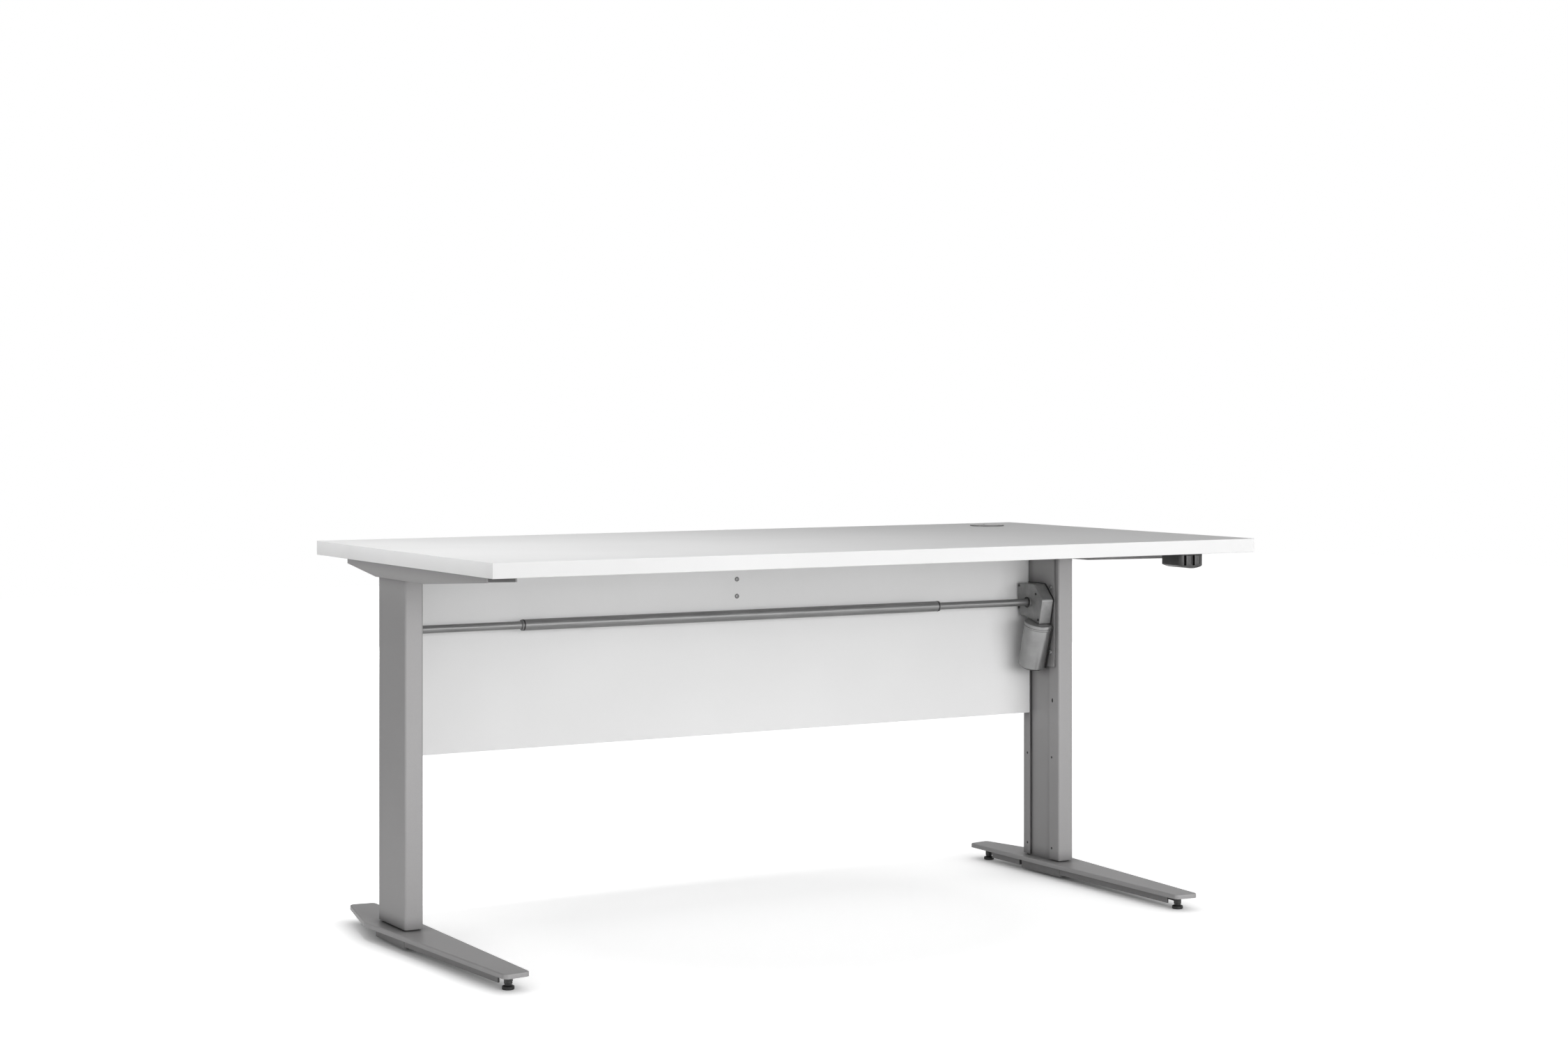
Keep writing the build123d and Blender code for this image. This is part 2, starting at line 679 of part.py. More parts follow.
def make_foot_stiffeners():
    front, rear = socket_reach()
    front_tip = leveller_front_y + PAD_RADIUS + STIFFENER_FRONT_GAP
    rear_tip = leveller_rear_y - PAD_RADIUS - STIFFENER_REAR_GAP
    return [stiffener(front, front_tip, outer_edge_x(front)),
            stiffener(rear, rear_tip, outer_edge_x(rear_tip))]


def make_leveller(side, y):
    pad = rod_z(0, 0, 0, PAD_HEIGHT, PAD_RADIUS)
    pad = fillet(pad.edges().sort_by(Axis.Z)[-1], PAD_HEIGHT / 5)
    neck = rod_z(0, 0, PAD_HEIGHT, plate_under, NECK_RADIUS)
    stud = rod_z(0, 0, plate_under, plate_under + STUD_LENGTH, STUD_RADIUS)
    return Pos(side * leveller_x, y, 0) * (pad + neck + stud)


# Modesty panel
def panel_screw_places():
    return [(0, panel_front_y, z) for z in panel_screw_levels]


def end_bracket_levels():
    return [TOP_HEIGHT - drop for drop in END_BRACKET_DROPS]


def end_bracket_screw_places():
    x = face_x - END_BRACKET_LEG * END_BRACKET_SCREW_SHARE
    y = panel_rear_y + END_BRACKET_THICKNESS
    return [(side * x, y, z) for side in (-1, 1) for z in end_bracket_levels()]


def make_modesty_panel():
    panel = block(-face_x, face_x, panel_front_y, panel_rear_y, TOP_HEIGHT - PANEL_BOTTOM_DROP, panel_top)
    corner_x = min(rail_x - RAIL_WIDTH / 2, face_x) - PANEL_RAIL_GAP
    corner_z = top_under - RAIL_DEEP - PANEL_RAIL_GAP
    corner = block(corner_x, face_x, panel_front_y, panel_rear_y, corner_z, panel_top)
    panel -= corner + left(corner)
    for place in panel_screw_places():
        panel -= at(place, Rot(-90, 0, 0) * screw_hole(PANEL_SCREW, PANEL_THICKNESS))
    for place in end_bracket_screw_places():
        panel -= at(place, Rot(90, 0, 0) * screw_hole(END_BRACKET_SCREW, END_BRACKET_SCREW[3] + SCREW_GAP))
    return panel


def make_centre_bracket():
    half = BRACKET_WIDTH / 2
    front = panel_rear_y
    back = front + BRACKET_THICKNESS
    low = panel_screw_levels[-1] - BRACKET_BELOW
    bracket = block(-half, half, front, back, low, top_under)
    bracket += block(-half, half, back, back + BRACKET_FOOT, top_under - BRACKET_THICKNESS, top_under)
    for place in panel_screw_places():
        bracket -= at(place, Rot(-90, 0, 0) * screw_hole(PANEL_SCREW, PANEL_SCREW[3]))
    for place in bracket_screw_places():
        bracket -= at(place, screw_hole(WOOD_SCREW, BRACKET_THICKNESS))
    return bracket


def make_end_brackets():
    brackets = []
    back = panel_rear_y + END_BRACKET_THICKNESS
    for z in end_bracket_levels():
        low, high = z - END_BRACKET_HEIGHT / 2, z + END_BRACKET_HEIGHT / 2
        angle = block(face_x - END_BRACKET_LEG, face_x, panel_rear_y, back, low, high)
        angle += block(face_x - END_BRACKET_THICKNESS, face_x, back, column_rear - COLUMN_ROUND / 2,
                       low, high)
        for place in end_bracket_screw_places():
            angle -= at(place, Rot(90, 0, 0) * screw_hole(END_BRACKET_SCREW, END_BRACKET_SCREW[3]))
        brackets += [angle, left(angle)]
    return group(brackets)


def make_panel_screws():
    screws = [at(place, Rot(-90, 0, 0) * screw(PANEL_SCREW)) for place in panel_screw_places()]
    screws += [at(place, Rot(90, 0, 0) * screw(END_BRACKET_SCREW)) for place in end_bracket_screw_places()]
    return group(screws)


# Cross shaft
def make_drive_tube():
    tube = rod_x(tube_left, tube_right, column_y, shaft_z, TUBE_RADIUS)
    return tube - rod_x(tube_left, tube_right, column_y, shaft_z, ROD_RADIUS + RUNNING_GAP)


def make_drive_rod(inner_end):
    """The right-hand rod, from inside the tube to the bevel gear, with a stub for the gear."""
    bar = rod_x(inner_end, gear_back_x, column_y, shaft_z, ROD_RADIUS)
    return bar + rod_x(gear_back_x, gear_back_x + BEVEL_FACE, column_y, shaft_z, BEVEL_STUB_RADIUS)


def make_drive_rods():
    right_rod = make_drive_rod(tube_right - ROD_OVERLAP)
    left_rod = left(make_drive_rod(-tube_left - ROD_OVERLAP))
    return group([left_rod, right_rod])


def bevel_gear():
    """A bevel gear on +Z, with its back at z = 0."""
    back = BEVEL_RADIUS - BEVEL_GAP
    gear = Pos(0, 0, BEVEL_FACE / 2) * Cone(back, back - BEVEL_FACE, BEVEL_FACE)
    for i in range(BEVEL_TEETH):
        tooth_gap = Rot(0, BEVEL_CUT_TURN, 0) * Box(BEVEL_TOOTH_CUT, BEVEL_TOOTH_CUT, 4 * BEVEL_FACE)
        tooth_gap = Rot(0, 0, i * 360 / BEVEL_TEETH) * Pos(back, 0, 0) * Rot(0, -90, 0) * tooth_gap
        gear -= tooth_gap
    return gear - rod_z(0, 0, 0, BEVEL_FACE, BEVEL_STUB_RADIUS + RUNNING_GAP)


def make_shaft_gear():
    return Pos(gear_back_x, column_y, shaft_z) * Rot(0, 90, 0) * bevel_gear()


def make_spindle_gear():
    return Pos(spindle_x, column_y, gear_back_z) * bevel_gear()


def make_spindle():
    bar = rod_z(spindle_x, column_y, spindle_bottom, gear_back_z, SPINDLE_RADIUS)
    collar_top = case_bottom - COLLAR_GAP
    bar += rod_z(spindle_x, column_y, collar_top - COLLAR_HEIGHT, collar_top, COLLAR_RADIUS)
    return bar + rod_z(spindle_x, column_y, gear_back_z, gear_back_z + BEVEL_FACE, BEVEL_STUB_RADIUS)


def make_spindle_nut():
    y0, y1 = column_y - NUT_HALF_DEPTH, column_y + NUT_HALF_DEPTH
    nut = block(web_back_x, nut_outer_x, y0, y1, nut_top - NUT_HEIGHT, nut_top)
    return nut - rod_z(spindle_x, column_y, nut_top - NUT_HEIGHT, nut_top, SPINDLE_RADIUS + RUNNING_GAP)


def case_plan():
    """X and Y limits of the bevel case's main block."""
    return web_back_x + CASE_WEB_GAP, wall_x, column_y - CASE_HALF_DEPTH, column_y + CASE_HALF_DEPTH


def make_bevel_case():
    x0, x1, y0, y1 = case_plan()
    cavity_x = gear_back_x - BEVEL_GAP
    case = block(x0, x1, y0, y1, case_bottom, case_top)
    case += block(face_x, x0, column_y - NECK_HALF, column_y + NECK_HALF,
                  shaft_z - NECK_HALF, shaft_z + NECK_HALF)
    case -= block(cavity_x, spindle_x + cavity_half, column_y - cavity_half, column_y + cavity_half,
                  gear_back_z - BEVEL_GAP, case_top)
    case -= rod_x(face_x, cavity_x, column_y, shaft_z, ROD_RADIUS + RUNNING_GAP)
    return case - rod_z(spindle_x, column_y, case_bottom, gear_back_z, SPINDLE_RADIUS + RUNNING_GAP)


def make_case_cover():
    return block(*case_plan(), case_top, case_top + CASE_COVER)


# Plates on the columns' inner faces
def make_gear_plate(side):
    bottom = shaft_z - (MOTOR_PLATE_BELOW if side > 0 else LEFT_PLATE_BELOW)
    top = top_under - RAIL_DEEP - GEAR_PLATE_TOP_GAP
    y0 = column_front + GEAR_PLATE_FRONT_INSET
    y1 = min(slot_rear, panel_front_y) - GEAR_PLATE_REAR_GAP
    plate = block(plate_face_x, face_x, y0, y1, bottom, top)
    plate -= rod_x(plate_face_x, face_x, column_y, shaft_z, ROD_RADIUS + SHAFT_HOLE_GAP)
    for y, z in plate_screw_places(side):
        plate -= rod_x(plate_face_x, face_x, y, z, PLATE_SCREW[2] + SCREW_GAP)
    return plate if side > 0 else left(plate)


def make_plate_screws():
    screws = []
    for side in (-1, 1):
        for y, z in plate_screw_places(side):
            piece = Pos(plate_face_x, y, z) * Rot(0, 90, 0) * screw(PLATE_SCREW)
            screws.append(piece if side > 0 else left(piece))
    return group(screws)


# Gearbox and motor. The motor's own frame starts at the worm and runs down along its axis.
motor_frame = Pos(motor_x, worm_y, worm_z) * Rot(180 + MOTOR_TILT, 0, 0)


def gearbox_corners():
    """The gearbox outline, as (y, z). Its underside is square to the motor."""
    foot_y = worm_y + MOTOR_START * sin(tilt)
    foot_z = worm_z - MOTOR_START * cos(tilt)
    front = (foot_y - GEARBOX_FRONT_REACH * cos(tilt), foot_z - GEARBOX_FRONT_REACH * sin(tilt))
    rear = (foot_y + GEARBOX_REAR_REACH * cos(tilt), foot_z + GEARBOX_REAR_REACH * sin(tilt))
    upper = [(column_y + y, shaft_z + z) for y, z in GEARBOX_UPPER_CORNERS]
    lower = (column_y + GEARBOX_LOWER_CORNER[0], shaft_z + GEARBOX_LOWER_CORNER[1])
    return upper + [front, rear, lower]


def worm_cavity():
    gap = WORM_CAVITY_GAP
    bore = rod_z(0, 0, -WORM_ABOVE - gap, worm_below + gap, WORM_RADIUS + gap)
    bore += rod_z(0, 0, worm_below, MOTOR_START + gap, WORM_SHAFT_RADIUS + GLIDE_CLEARANCE)
    return motor_frame * bore


def wheel_radius():
    return WORM_DISTANCE - WORM_RADIUS - WHEEL_GAP


def wheel_reach():
    return motor_x - WHEEL_WIDTH / 2, motor_x + WHEEL_WIDTH / 2


def make_gearbox_case():
    inside = gearbox_face_x + GEARBOX_COVER
    case = prism_x(gearbox_corners(), inside, plate_face_x)
    wheel_end = wheel_reach()[1]
    gap = WHEEL_CAVITY_GAP
    case -= rod_x(inside, wheel_end + gap, column_y, shaft_z, wheel_radius() + gap)
    case -= rod_x(wheel_end, wheel_end + WHEEL_HUB_LENGTH + gap, column_y, shaft_z, WHEEL_HUB_RADIUS + gap)
    case -= rod_x(wheel_end, plate_face_x, column_y, shaft_z, ROD_RADIUS + SHAFT_HOLE_GAP)
    case -= worm_cavity()
    for y, z in COVER_SCREWS:
        hole = screw_hole(COVER_SCREW, COVER_SCREW[3] + SCREW_GAP)
        case -= Pos(gearbox_face_x, column_y + y, shaft_z + z) * Rot(0, 90, 0) * hole
    return case


def make_gearbox_cover():
    inside = gearbox_face_x + GEARBOX_COVER
    cover = prism_x(gearbox_corners(), gearbox_face_x, inside)
    cover = fillet(cover.faces().sort_by(Axis.X)[0].edges(), GEARBOX_ROUND)
    cover += rod_x(gearbox_face_x - HUB_HEIGHT, gearbox_face_x, column_y, shaft_z, HUB_RADIUS)
    cover -= rod_x(gearbox_face_x - HUB_HEIGHT, inside, column_y, shaft_z, ROD_RADIUS + SHAFT_HOLE_GAP)
    cover -= worm_cavity()
    for y, z in COVER_SCREWS:
        hole = screw_hole(COVER_SCREW, GEARBOX_COVER)
        cover -= Pos(gearbox_face_x, column_y + y, shaft_z + z) * Rot(0, 90, 0) * hole
    return cover


def make_cover_screws():
    return group([Pos(gearbox_face_x, column_y + y, shaft_z + z) * Rot(0, 90, 0) * screw(COVER_SCREW)
                  for y, z in COVER_SCREWS])


def make_worm_wheel():
    x0, x1 = wheel_reach()
    wheel = rod_x(x0, x1, column_y, shaft_z, wheel_radius())
    for i in range(WHEEL_TEETH):
        tooth_gap = Rot(i * 360 / WHEEL_TEETH, 0, 0) * Pos(0, wheel_radius(), 0)
        tooth_gap = tooth_gap * Box(2 * WHEEL_WIDTH, 2 * WHEEL_TOOTH_CUT, WHEEL_TOOTH_CUT)
        wheel -= Pos(motor_x, column_y, shaft_z) * tooth_gap
    wheel += rod_x(x1, x1 + WHEEL_HUB_LENGTH, column_y, shaft_z, WHEEL_HUB_RADIUS)
    return wheel - rod_x(x0, x1 + WHEEL_HUB_LENGTH, column_y, shaft_z, ROD_RADIUS + RUNNING_GAP)


def motor_body(radius, flat, z0, z1):
    """A round body along the motor's axis, with a flat on the side of the column."""
    body = rod_z(0, 0, z0, z1, radius)
    return body - block(flat, 2 * radius, -radius, radius, z0, z1)


def make_motor_cap():
    end = MOTOR_START + MOTOR_CAP_LENGTH
    cap = motor_body(MOTOR_RADIUS + MOTOR_CAP_PROUD, MOTOR_FLAT, MOTOR_START, end)
    return motor_frame * (cap - rod_z(0, 0, MOTOR_START, end, WORM_SHAFT_RADIUS + RUNNING_GAP))


def make_motor_can():
    start = MOTOR_START + MOTOR_CAP_LENGTH
    floor = motor_end - MOTOR_WALL
    can = motor_body(MOTOR_RADIUS, MOTOR_FLAT, start, motor_end)
    can += rod_z(0, 0, motor_end, motor_end + MOTOR_BOSS_LENGTH, MOTOR_BOSS_RADIUS)
    can -= motor_body(MOTOR_RADIUS - MOTOR_WALL, MOTOR_FLAT - MOTOR_WALL, start, floor)
    tail_end = motor_end + MOTOR_BOSS_LENGTH / 2
    return motor_frame * (can - rod_z(0, 0, floor, tail_end, WORM_SHAFT_RADIUS + RUNNING_GAP))


def make_worm():
    worm = rod_z(0, 0, -WORM_ABOVE, worm_below, WORM_RADIUS)
    return motor_frame * (worm - rod_z(0, 0, -WORM_ABOVE, worm_below, WORM_SHAFT_RADIUS + RUNNING_GAP))


def make_armature():
    start = MOTOR_START + MOTOR_CAP_LENGTH + ARMATURE_GAP
    shaft = rod_z(0, 0, -WORM_ABOVE, motor_end + MOTOR_BOSS_LENGTH / 2 - RUNNING_GAP, WORM_SHAFT_RADIUS)
    return motor_frame * (shaft + rod_z(0, 0, start, start + ARMATURE_LENGTH, ARMATURE_RADIUS))


# Hand switch
def button_centre(number):
    return switch_x + (2 * number - 1) * BUTTON_PITCH / 2


def make_switch_housing():
    half = SWITCH_WIDTH / 2
    side = top_under - SWITCH_SIDE_HEIGHT
    edges = [
        Line((-half, side), (-half, top_under)),
        Line((-half, top_under), (half, top_under)),
        Line((half, top_under), (half, side)),
        ThreePointArc((half, side), (0, top_under - SWITCH_MID_HEIGHT), (-half, side)),
    ]
    outline = make_face(Curve() + edges)
    front = Plane((switch_x, switch_front_y, 0), x_dir=(1, 0, 0), z_dir=(0, -1, 0))
    housing = extrude(front * outline, amount=SWITCH_DEPTH, dir=(0, 1, 0))
    corners = housing.edges().filter_by(Axis.Z).sort_by(Axis.Y)[:2]
    housing = fillet(corners, SWITCH_CORNER)
    back = switch_front_y + SWITCH_DEPTH
    tab_half = SWITCH_TAB_WIDTH / 2
    housing += block(switch_x - tab_half, switch_x + tab_half, back, back + SWITCH_TAB,
                     top_under - SWITCH_TAB_THICKNESS, top_under)
    for number in (0, 1):
        x = button_centre(number)
        wide = BUTTON_WIDTH / 2 + BUTTON_GAP
        high = BUTTON_HEIGHT / 2 + BUTTON_GAP
        deep = switch_front_y - BUTTON_PROUD + BUTTON_DEPTH + BUTTON_TRAVEL + BUTTON_GAP
        housing -= block(x - wide, x + wide, switch_front_y, deep, button_levels - high, button_levels + high)
    for place in switch_screw_places():
        housing -= at(place, screw_hole(WOOD_SCREW, SWITCH_TAB_THICKNESS))
    return housing


def make_button(number):
    x = button_centre(number)
    y0 = switch_front_y - BUTTON_PROUD
    key = block(x - BUTTON_WIDTH / 2, x + BUTTON_WIDTH / 2, y0, y0 + BUTTON_DEPTH,
                button_levels - BUTTON_HEIGHT / 2, button_levels + BUTTON_HEIGHT / 2)
    return fillet(key.faces().sort_by(Axis.Y)[0].edges(), BUTTON_ROUND)


# Control box
def post_places():
    reach_x = BOX_WIDTH / 2 - BOX_WALL - BOARD_MARGIN
    reach_y = BOX_DEPTH / 2 - BOX_WALL - BOARD_MARGIN
    return [(box_x + a * reach_x, box_y + b * reach_y) for a in (-1, 1) for b in (-1, 1)]


def make_control_box():
    outline = Pos(box_x, box_y) * RectangleRounded(BOX_WIDTH, BOX_DEPTH, BOX_ROUND)
    inside = Pos(box_x, box_y) * RectangleRounded(BOX_WIDTH - 2 * BOX_WALL, BOX_DEPTH - 2 * BOX_WALL,
                                                  BOX_ROUND - BOX_WALL)
    box = prism_z(outline, box_bottom, lid_under)
    box -= prism_z(inside, box_bottom + BOX_WALL, lid_under)
    for x, y in post_places():
        box += rod_z(x, y, box_bottom + BOX_WALL, box_bottom + BOX_WALL + POST_HEIGHT, POST_RADIUS)
    back = box_y + BOX_DEPTH / 2
    middle = (box_bottom + lid_under) / 2
    for number, (width, height) in enumerate(
        ((INLET_WIDTH, INLET_HEIGHT), (JACK_WIDTH, JACK_HEIGHT), (JACK_WIDTH, JACK_HEIGHT))
    ):
        x = box_x + (number - 1) * SOCKET_PITCH
        box -= block(x - width / 2, x + width / 2, back - BOX_WALL, back,
                     middle - height / 2, middle + height / 2)
    return box


def make_control_lid():
    reach = BOX_WIDTH / 2 + LID_EAR
    outline = Pos(box_x, box_y) * RectangleRounded(2 * reach, BOX_DEPTH, BOX_ROUND)
    lid = prism_z(outline, lid_under, top_under)
    for place in lid_screw_places():
        lid -= at(place, screw_hole(WOOD_SCREW, LID_THICKNESS))
    return lid


def board_bottom():
    return box_bottom + BOX_WALL + POST_HEIGHT


def make_circuit_board():
    half_x = BOX_WIDTH / 2 - BOX_WALL - BOARD_MARGIN / 2
    half_y = BOX_DEPTH / 2 - BOX_WALL - BOARD_MARGIN / 2
    z0 = board_bottom()
    return block(box_x - half_x, box_x + half_x, box_y - half_y, box_y + half_y, z0, z0 + BOARD_THICKNESS)


def make_transformer():
    x = box_x - BOX_WIDTH / 4
    z0 = board_bottom() + BOARD_THICKNESS
    core = block(x - TRANSFORMER_WIDTH / 2, x + TRANSFORMER_WIDTH / 2, box_y - TRANSFORMER_DEPTH / 2,
                 box_y + TRANSFORMER_DEPTH / 2, z0, z0 + TRANSFORMER_HEIGHT)
    return fillet(core.edges().filter_by(Axis.Z), BOX_ROUND)


# All the pieces
os.makedirs("parts", exist_ok=True)

save("tabletop", make_tabletop())
save("edge_bands", make_edge_bands())
save("grommet_liner", make_grommet_liner())
save("grommet_cap", make_grommet_cap())
save("wood_screws", group([at(place, screw(WOOD_SCREW)) for place in wood_screw_places()]))
head_bolts = [at(place, screw(HEAD_BOLT, 6)) for side in (-1, 1) for place in head_bolt_places(side)]
save("head_bolts", group(head_bolts))
save("column_heads", group([make_column_head(side) for side in (-1, 1)]))
save("glide_pins", make_glide_pins())
save("modesty_panel", make_modesty_panel())
save("panel_centre_bracket", make_centre_bracket())
save("panel_end_brackets", make_end_brackets())
save("panel_screws", make_panel_screws())

for side, name in ((-1, "left"), (1, "right")):
    hand = left if side < 0 else (lambda shape: shape)
    save(f"{name}_outer_column", make_outer_column(side))
    save(f"{name}_side_rail", make_side_rail(side))
    save(f"{name}_inner_column", hand(make_inner_column()))
    save(f"{name}_glides", group([hand(strip) for strip in make_glides()]))
    save(f"{name}_foot_plate", hand(make_foot_plate()))
    save(f"{name}_foot_socket", hand(make_foot_socket()))
    save(f"{name}_foot_stiffeners", group([hand(piece) for piece in make_foot_stiffeners()]))
    save(f"front_{name}_leveller", make_leveller(side, leveller_front_y))
    save(f"rear_{name}_leveller", make_leveller(side, leveller_rear_y))
    save(f"{name}_spindle", hand(make_spindle()))
    save(f"{name}_spindle_gear", hand(make_spindle_gear()))
    save(f"{name}_spindle_nut", hand(make_spindle_nut()))
    save(f"{name}_bevel_case", hand(make_bevel_case()))

save("bevel_case_covers", group([left(make_case_cover()), make_case_cover()]))
save("drive_tube", make_drive_tube())
save("drive_rods", make_drive_rods())
save("shaft_gears", group([left(make_shaft_gear()), make_shaft_gear()]))
save("left_gear_plate", make_gear_plate(-1))
save("motor_plate", make_gear_plate(1))
save("plate_screws", make_plate_screws())
save("gearbox_case", make_gearbox_case())
save("gearbox_cover", make_gearbox_cover())
save("gearbox_cover_screws", make_cover_screws())
save("worm_wheel", make_worm_wheel())
save("worm", make_worm())
save("motor_cap", make_motor_cap())
save("motor_can", make_motor_can())
save("motor_armature", make_armature())
save("switch_housing", make_switch_housing())
save("down_button", make_button(0))
save("up_button", make_button(1))
save("control_box", make_control_box())
save("control_lid", make_control_lid())
save("circuit_board", make_circuit_board())
save("transformer", make_transformer())
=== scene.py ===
import bpy
import json
import math
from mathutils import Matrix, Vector


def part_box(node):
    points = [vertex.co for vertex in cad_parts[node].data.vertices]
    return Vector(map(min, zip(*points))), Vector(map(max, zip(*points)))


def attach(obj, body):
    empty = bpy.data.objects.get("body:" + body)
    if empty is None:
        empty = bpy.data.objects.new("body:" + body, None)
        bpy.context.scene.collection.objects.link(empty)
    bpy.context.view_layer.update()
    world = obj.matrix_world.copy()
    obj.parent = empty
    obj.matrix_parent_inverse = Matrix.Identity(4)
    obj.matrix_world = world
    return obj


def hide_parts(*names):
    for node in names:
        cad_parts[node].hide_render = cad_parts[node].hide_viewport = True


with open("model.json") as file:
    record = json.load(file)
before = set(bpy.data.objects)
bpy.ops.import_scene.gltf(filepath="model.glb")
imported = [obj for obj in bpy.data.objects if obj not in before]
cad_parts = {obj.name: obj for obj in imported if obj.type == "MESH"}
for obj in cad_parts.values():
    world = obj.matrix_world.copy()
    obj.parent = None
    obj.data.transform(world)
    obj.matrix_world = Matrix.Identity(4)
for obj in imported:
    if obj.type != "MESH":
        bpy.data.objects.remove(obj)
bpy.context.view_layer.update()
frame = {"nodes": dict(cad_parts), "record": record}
nodes = frame["nodes"]

# Camera, fitted to the edges of the tabletop, the columns and the levellers
IMAGE_WIDTH = 2250
IMAGE_HEIGHT = 1500
SENSOR_WIDTH = 36.0
FOCAL_PIXELS = 3859.3
PRINCIPAL_X = 1251.0
HORIZON_Y = 582.9
CAMERA_PLACE = (-2.3892, -4.2551, 0.9321)
CAMERA_YAW = 31.059

# Light levels
WHITE = (1.0, 1.0, 1.0, 1.0)
SKY_STRENGTH = 0.19
FLOOR_COLOUR = (0.86, 0.86, 0.86, 1.0)
FLOOR_HALF = 9.0
FLOOR_NEAR_GLOW = 0.51
FLOOR_FAR_GLOW = 1.0
FLOOR_SHADOW_REACH = 0.20
FLOOR_NEAR = 0.4
FLOOR_FAR = 1.4

# How fine the modelling is. Lengths are in metres and angles in degrees.
TURNED_SIDES = 48
SCREW_SIDES = 24
MERGE_GAP = 0.00001
OVERSHOOT = 0.01
SHARP_EDGE = 40
SMOOTH_EDGE = 35
FACING = 0.9

# Turns that lay a shape's Z axis along +X, -X and -Y
ALONG_X = (0, 90, 0)
AGAINST_X = (0, -90, 0)
AGAINST_Y = (90, 0, 0)

# Turned profiles, as (height, radius)
LEVELLER_STEPS = [
    (0.0000, 0.0090), (0.0009, 0.0101), (0.0052, 0.0101), (0.0061, 0.0094), (0.0067, 0.0080),
    (0.0072, 0.0060), (0.0090, 0.0060), (0.0097, 0.0069), (0.0200, 0.0069), (0.0207, 0.0062),
    (0.0218, 0.0062), (0.0224, 0.0074), (0.0235, 0.0074), (0.0235, 0.0050), (0.0290, 0.0050),
]
GRIP_INSET = 0.0002
GRIP_DEPTH = 0.0004
MOTOR_CAN_STEPS = [
    (0.1260, 0.0043), (0.1195, 0.0043), (0.1195, 0.0250), (0.0410, 0.0250), (0.0410, 0.0268),
    (0.0414, 0.0275), (0.1195, 0.0275), (0.1209, 0.0270), (0.1217, 0.0258), (0.1220, 0.0240),
    (0.1212, 0.0226), (0.1212, 0.0090), (0.1220, 0.0078), (0.1228, 0.0070), (0.1290, 0.0070),
    (0.1300, 0.0061),
]
MOTOR_CAP_STEPS = [
    (0.0300, 0.0262), (0.0307, 0.0277), (0.0316, 0.0284), (0.0360, 0.0284), (0.0365, 0.0273),
    (0.0376, 0.0273), (0.0381, 0.0284), (0.0403, 0.0284), (0.0410, 0.0277),
]
TAIL_COVER_STEPS = [
    (0.1212, 0.0222), (0.1236, 0.0222), (0.1246, 0.0214), (0.1250, 0.0200), (0.1250, 0.0110),
    (0.1262, 0.0104),
]
GROMMET_RING_STEPS = [
    (0.6680, 0.0296), (0.6885, 0.0296), (0.6885, 0.0336), (0.6922, 0.0336), (0.6928, 0.0332),
    (0.6931, 0.0325), (0.6931, 0.0290), (0.6927, 0.0281), (0.6917, 0.0276), (0.6854, 0.0275),
    (0.6854, 0.0240),
]
# Painted shade: a dark grey sleeve round the side of the grommet's pale flange, for the shade along its
# side
GROMMET_SHADOW_RING_STEPS = [(0.6886, 0.0342), (0.6916, 0.0344), (0.6924, 0.0341), (0.6926, 0.0336)]
GROMMET_CAP_STEPS = [
    (0.6857, 0.0268), (0.6861, 0.02715), (0.6917, 0.02715), (0.6924, 0.0267), (0.6927, 0.0258),
    (0.6927, 0.0225), (0.6922, 0.0212), (0.6921, 0.0150),
]

# Motor, on its own axis from the worm down
MOTOR_PLACE = (0.6427, 0.12986, 0.53285)
MOTOR_TURN = (196, 0, 0)
MOTOR_FLAT = 0.0190
MOTOR_INNER_FLAT = 0.0165
MOTOR_MIDWALL = 0.0260
MOTOR_BORE = 0.0043
TAIL_COVER_BORE = 0.0074
TAIL_BOLT_X = 0.0085
TAIL_BOLT_Y = 0.0140
TAIL_BOLT = (0.0028, 0.0024, 0.0012, 0.0030)
# Painted shadow: a black strip beside the motor, where the gap to its plate is in shade
MOTOR_SHADOW_STRIP_LOW = (0.0162, 0.0222, 0.0320)
MOTOR_SHADOW_STRIP_HIGH = (0.0192, 0.0245, 0.1190)
MOTOR_SHADOW_STRIP_EDGE = 0.0006

# Screws, as head radius, head height, shank radius and shank length, and the shape of all heads
PLATE_SCREW = (0.0046, 0.0028, 0.0024, 0.0060)
PANEL_SCREW = (0.0044, 0.0020, 0.0024, 0.0220)
COVER_SCREW = (0.0026, 0.0012, 0.0015, 0.0090)
HEAD_SHARES = ((0.30, 1.00), (0.65, 0.92), (0.90, 0.74), (1.00, 0.55))
SOCKET_SHARE = 0.42
SOCKET_SIDES = 6
PLATE_SCREW_Y = 0.1245
RIGHT_PLATE_SCREWS = (0.5735, 0.4450)
LEFT_PLATE_SCREWS = (0.5735, 0.5115)
PANEL_SCREWS = (0.6070, 0.5750)
COVER_SCREWS = ((0.1360, 0.5600), (0.1275, 0.5095), (0.1945, 0.5740), (0.1945, 0.5305))

# Gearbox, its outline as (y, z)
GEARBOX_OUTLINE = (
    (0.1995, 0.5295), (0.1995, 0.5790), (0.1425, 0.5790), (0.1130, 0.5490), (0.1247, 0.5002),
    (0.1737, 0.5142), (0.1910, 0.5140),
)
GEARBOX_COVER = 0.0040
GEARBOX_CORNER = 0.0034
GEARBOX_RIM = 0.0016
WHEEL_POCKET_RADIUS = 0.0289
WHEEL_POCKET_END = 0.6475
WHEEL_HUB_POCKET_RADIUS = 0.0123
WHEEL_HUB_POCKET_END = 0.6605
SHAFT_HOLE_RADIUS = 0.0075
WORM_POCKET_RADIUS = 0.0072
WORM_POCKET_TOP = -0.0107
WORM_POCKET_END = 0.0147
WORM_SHAFT_HOLE_END = 0.0320
COVER_SCREW_HOLE = 0.0016
GASKET_THICKNESS = 0.0022
GASKET_RATIO = 1.04
GASKET_CENTRE = (0.0, 0.1563, 0.5450)
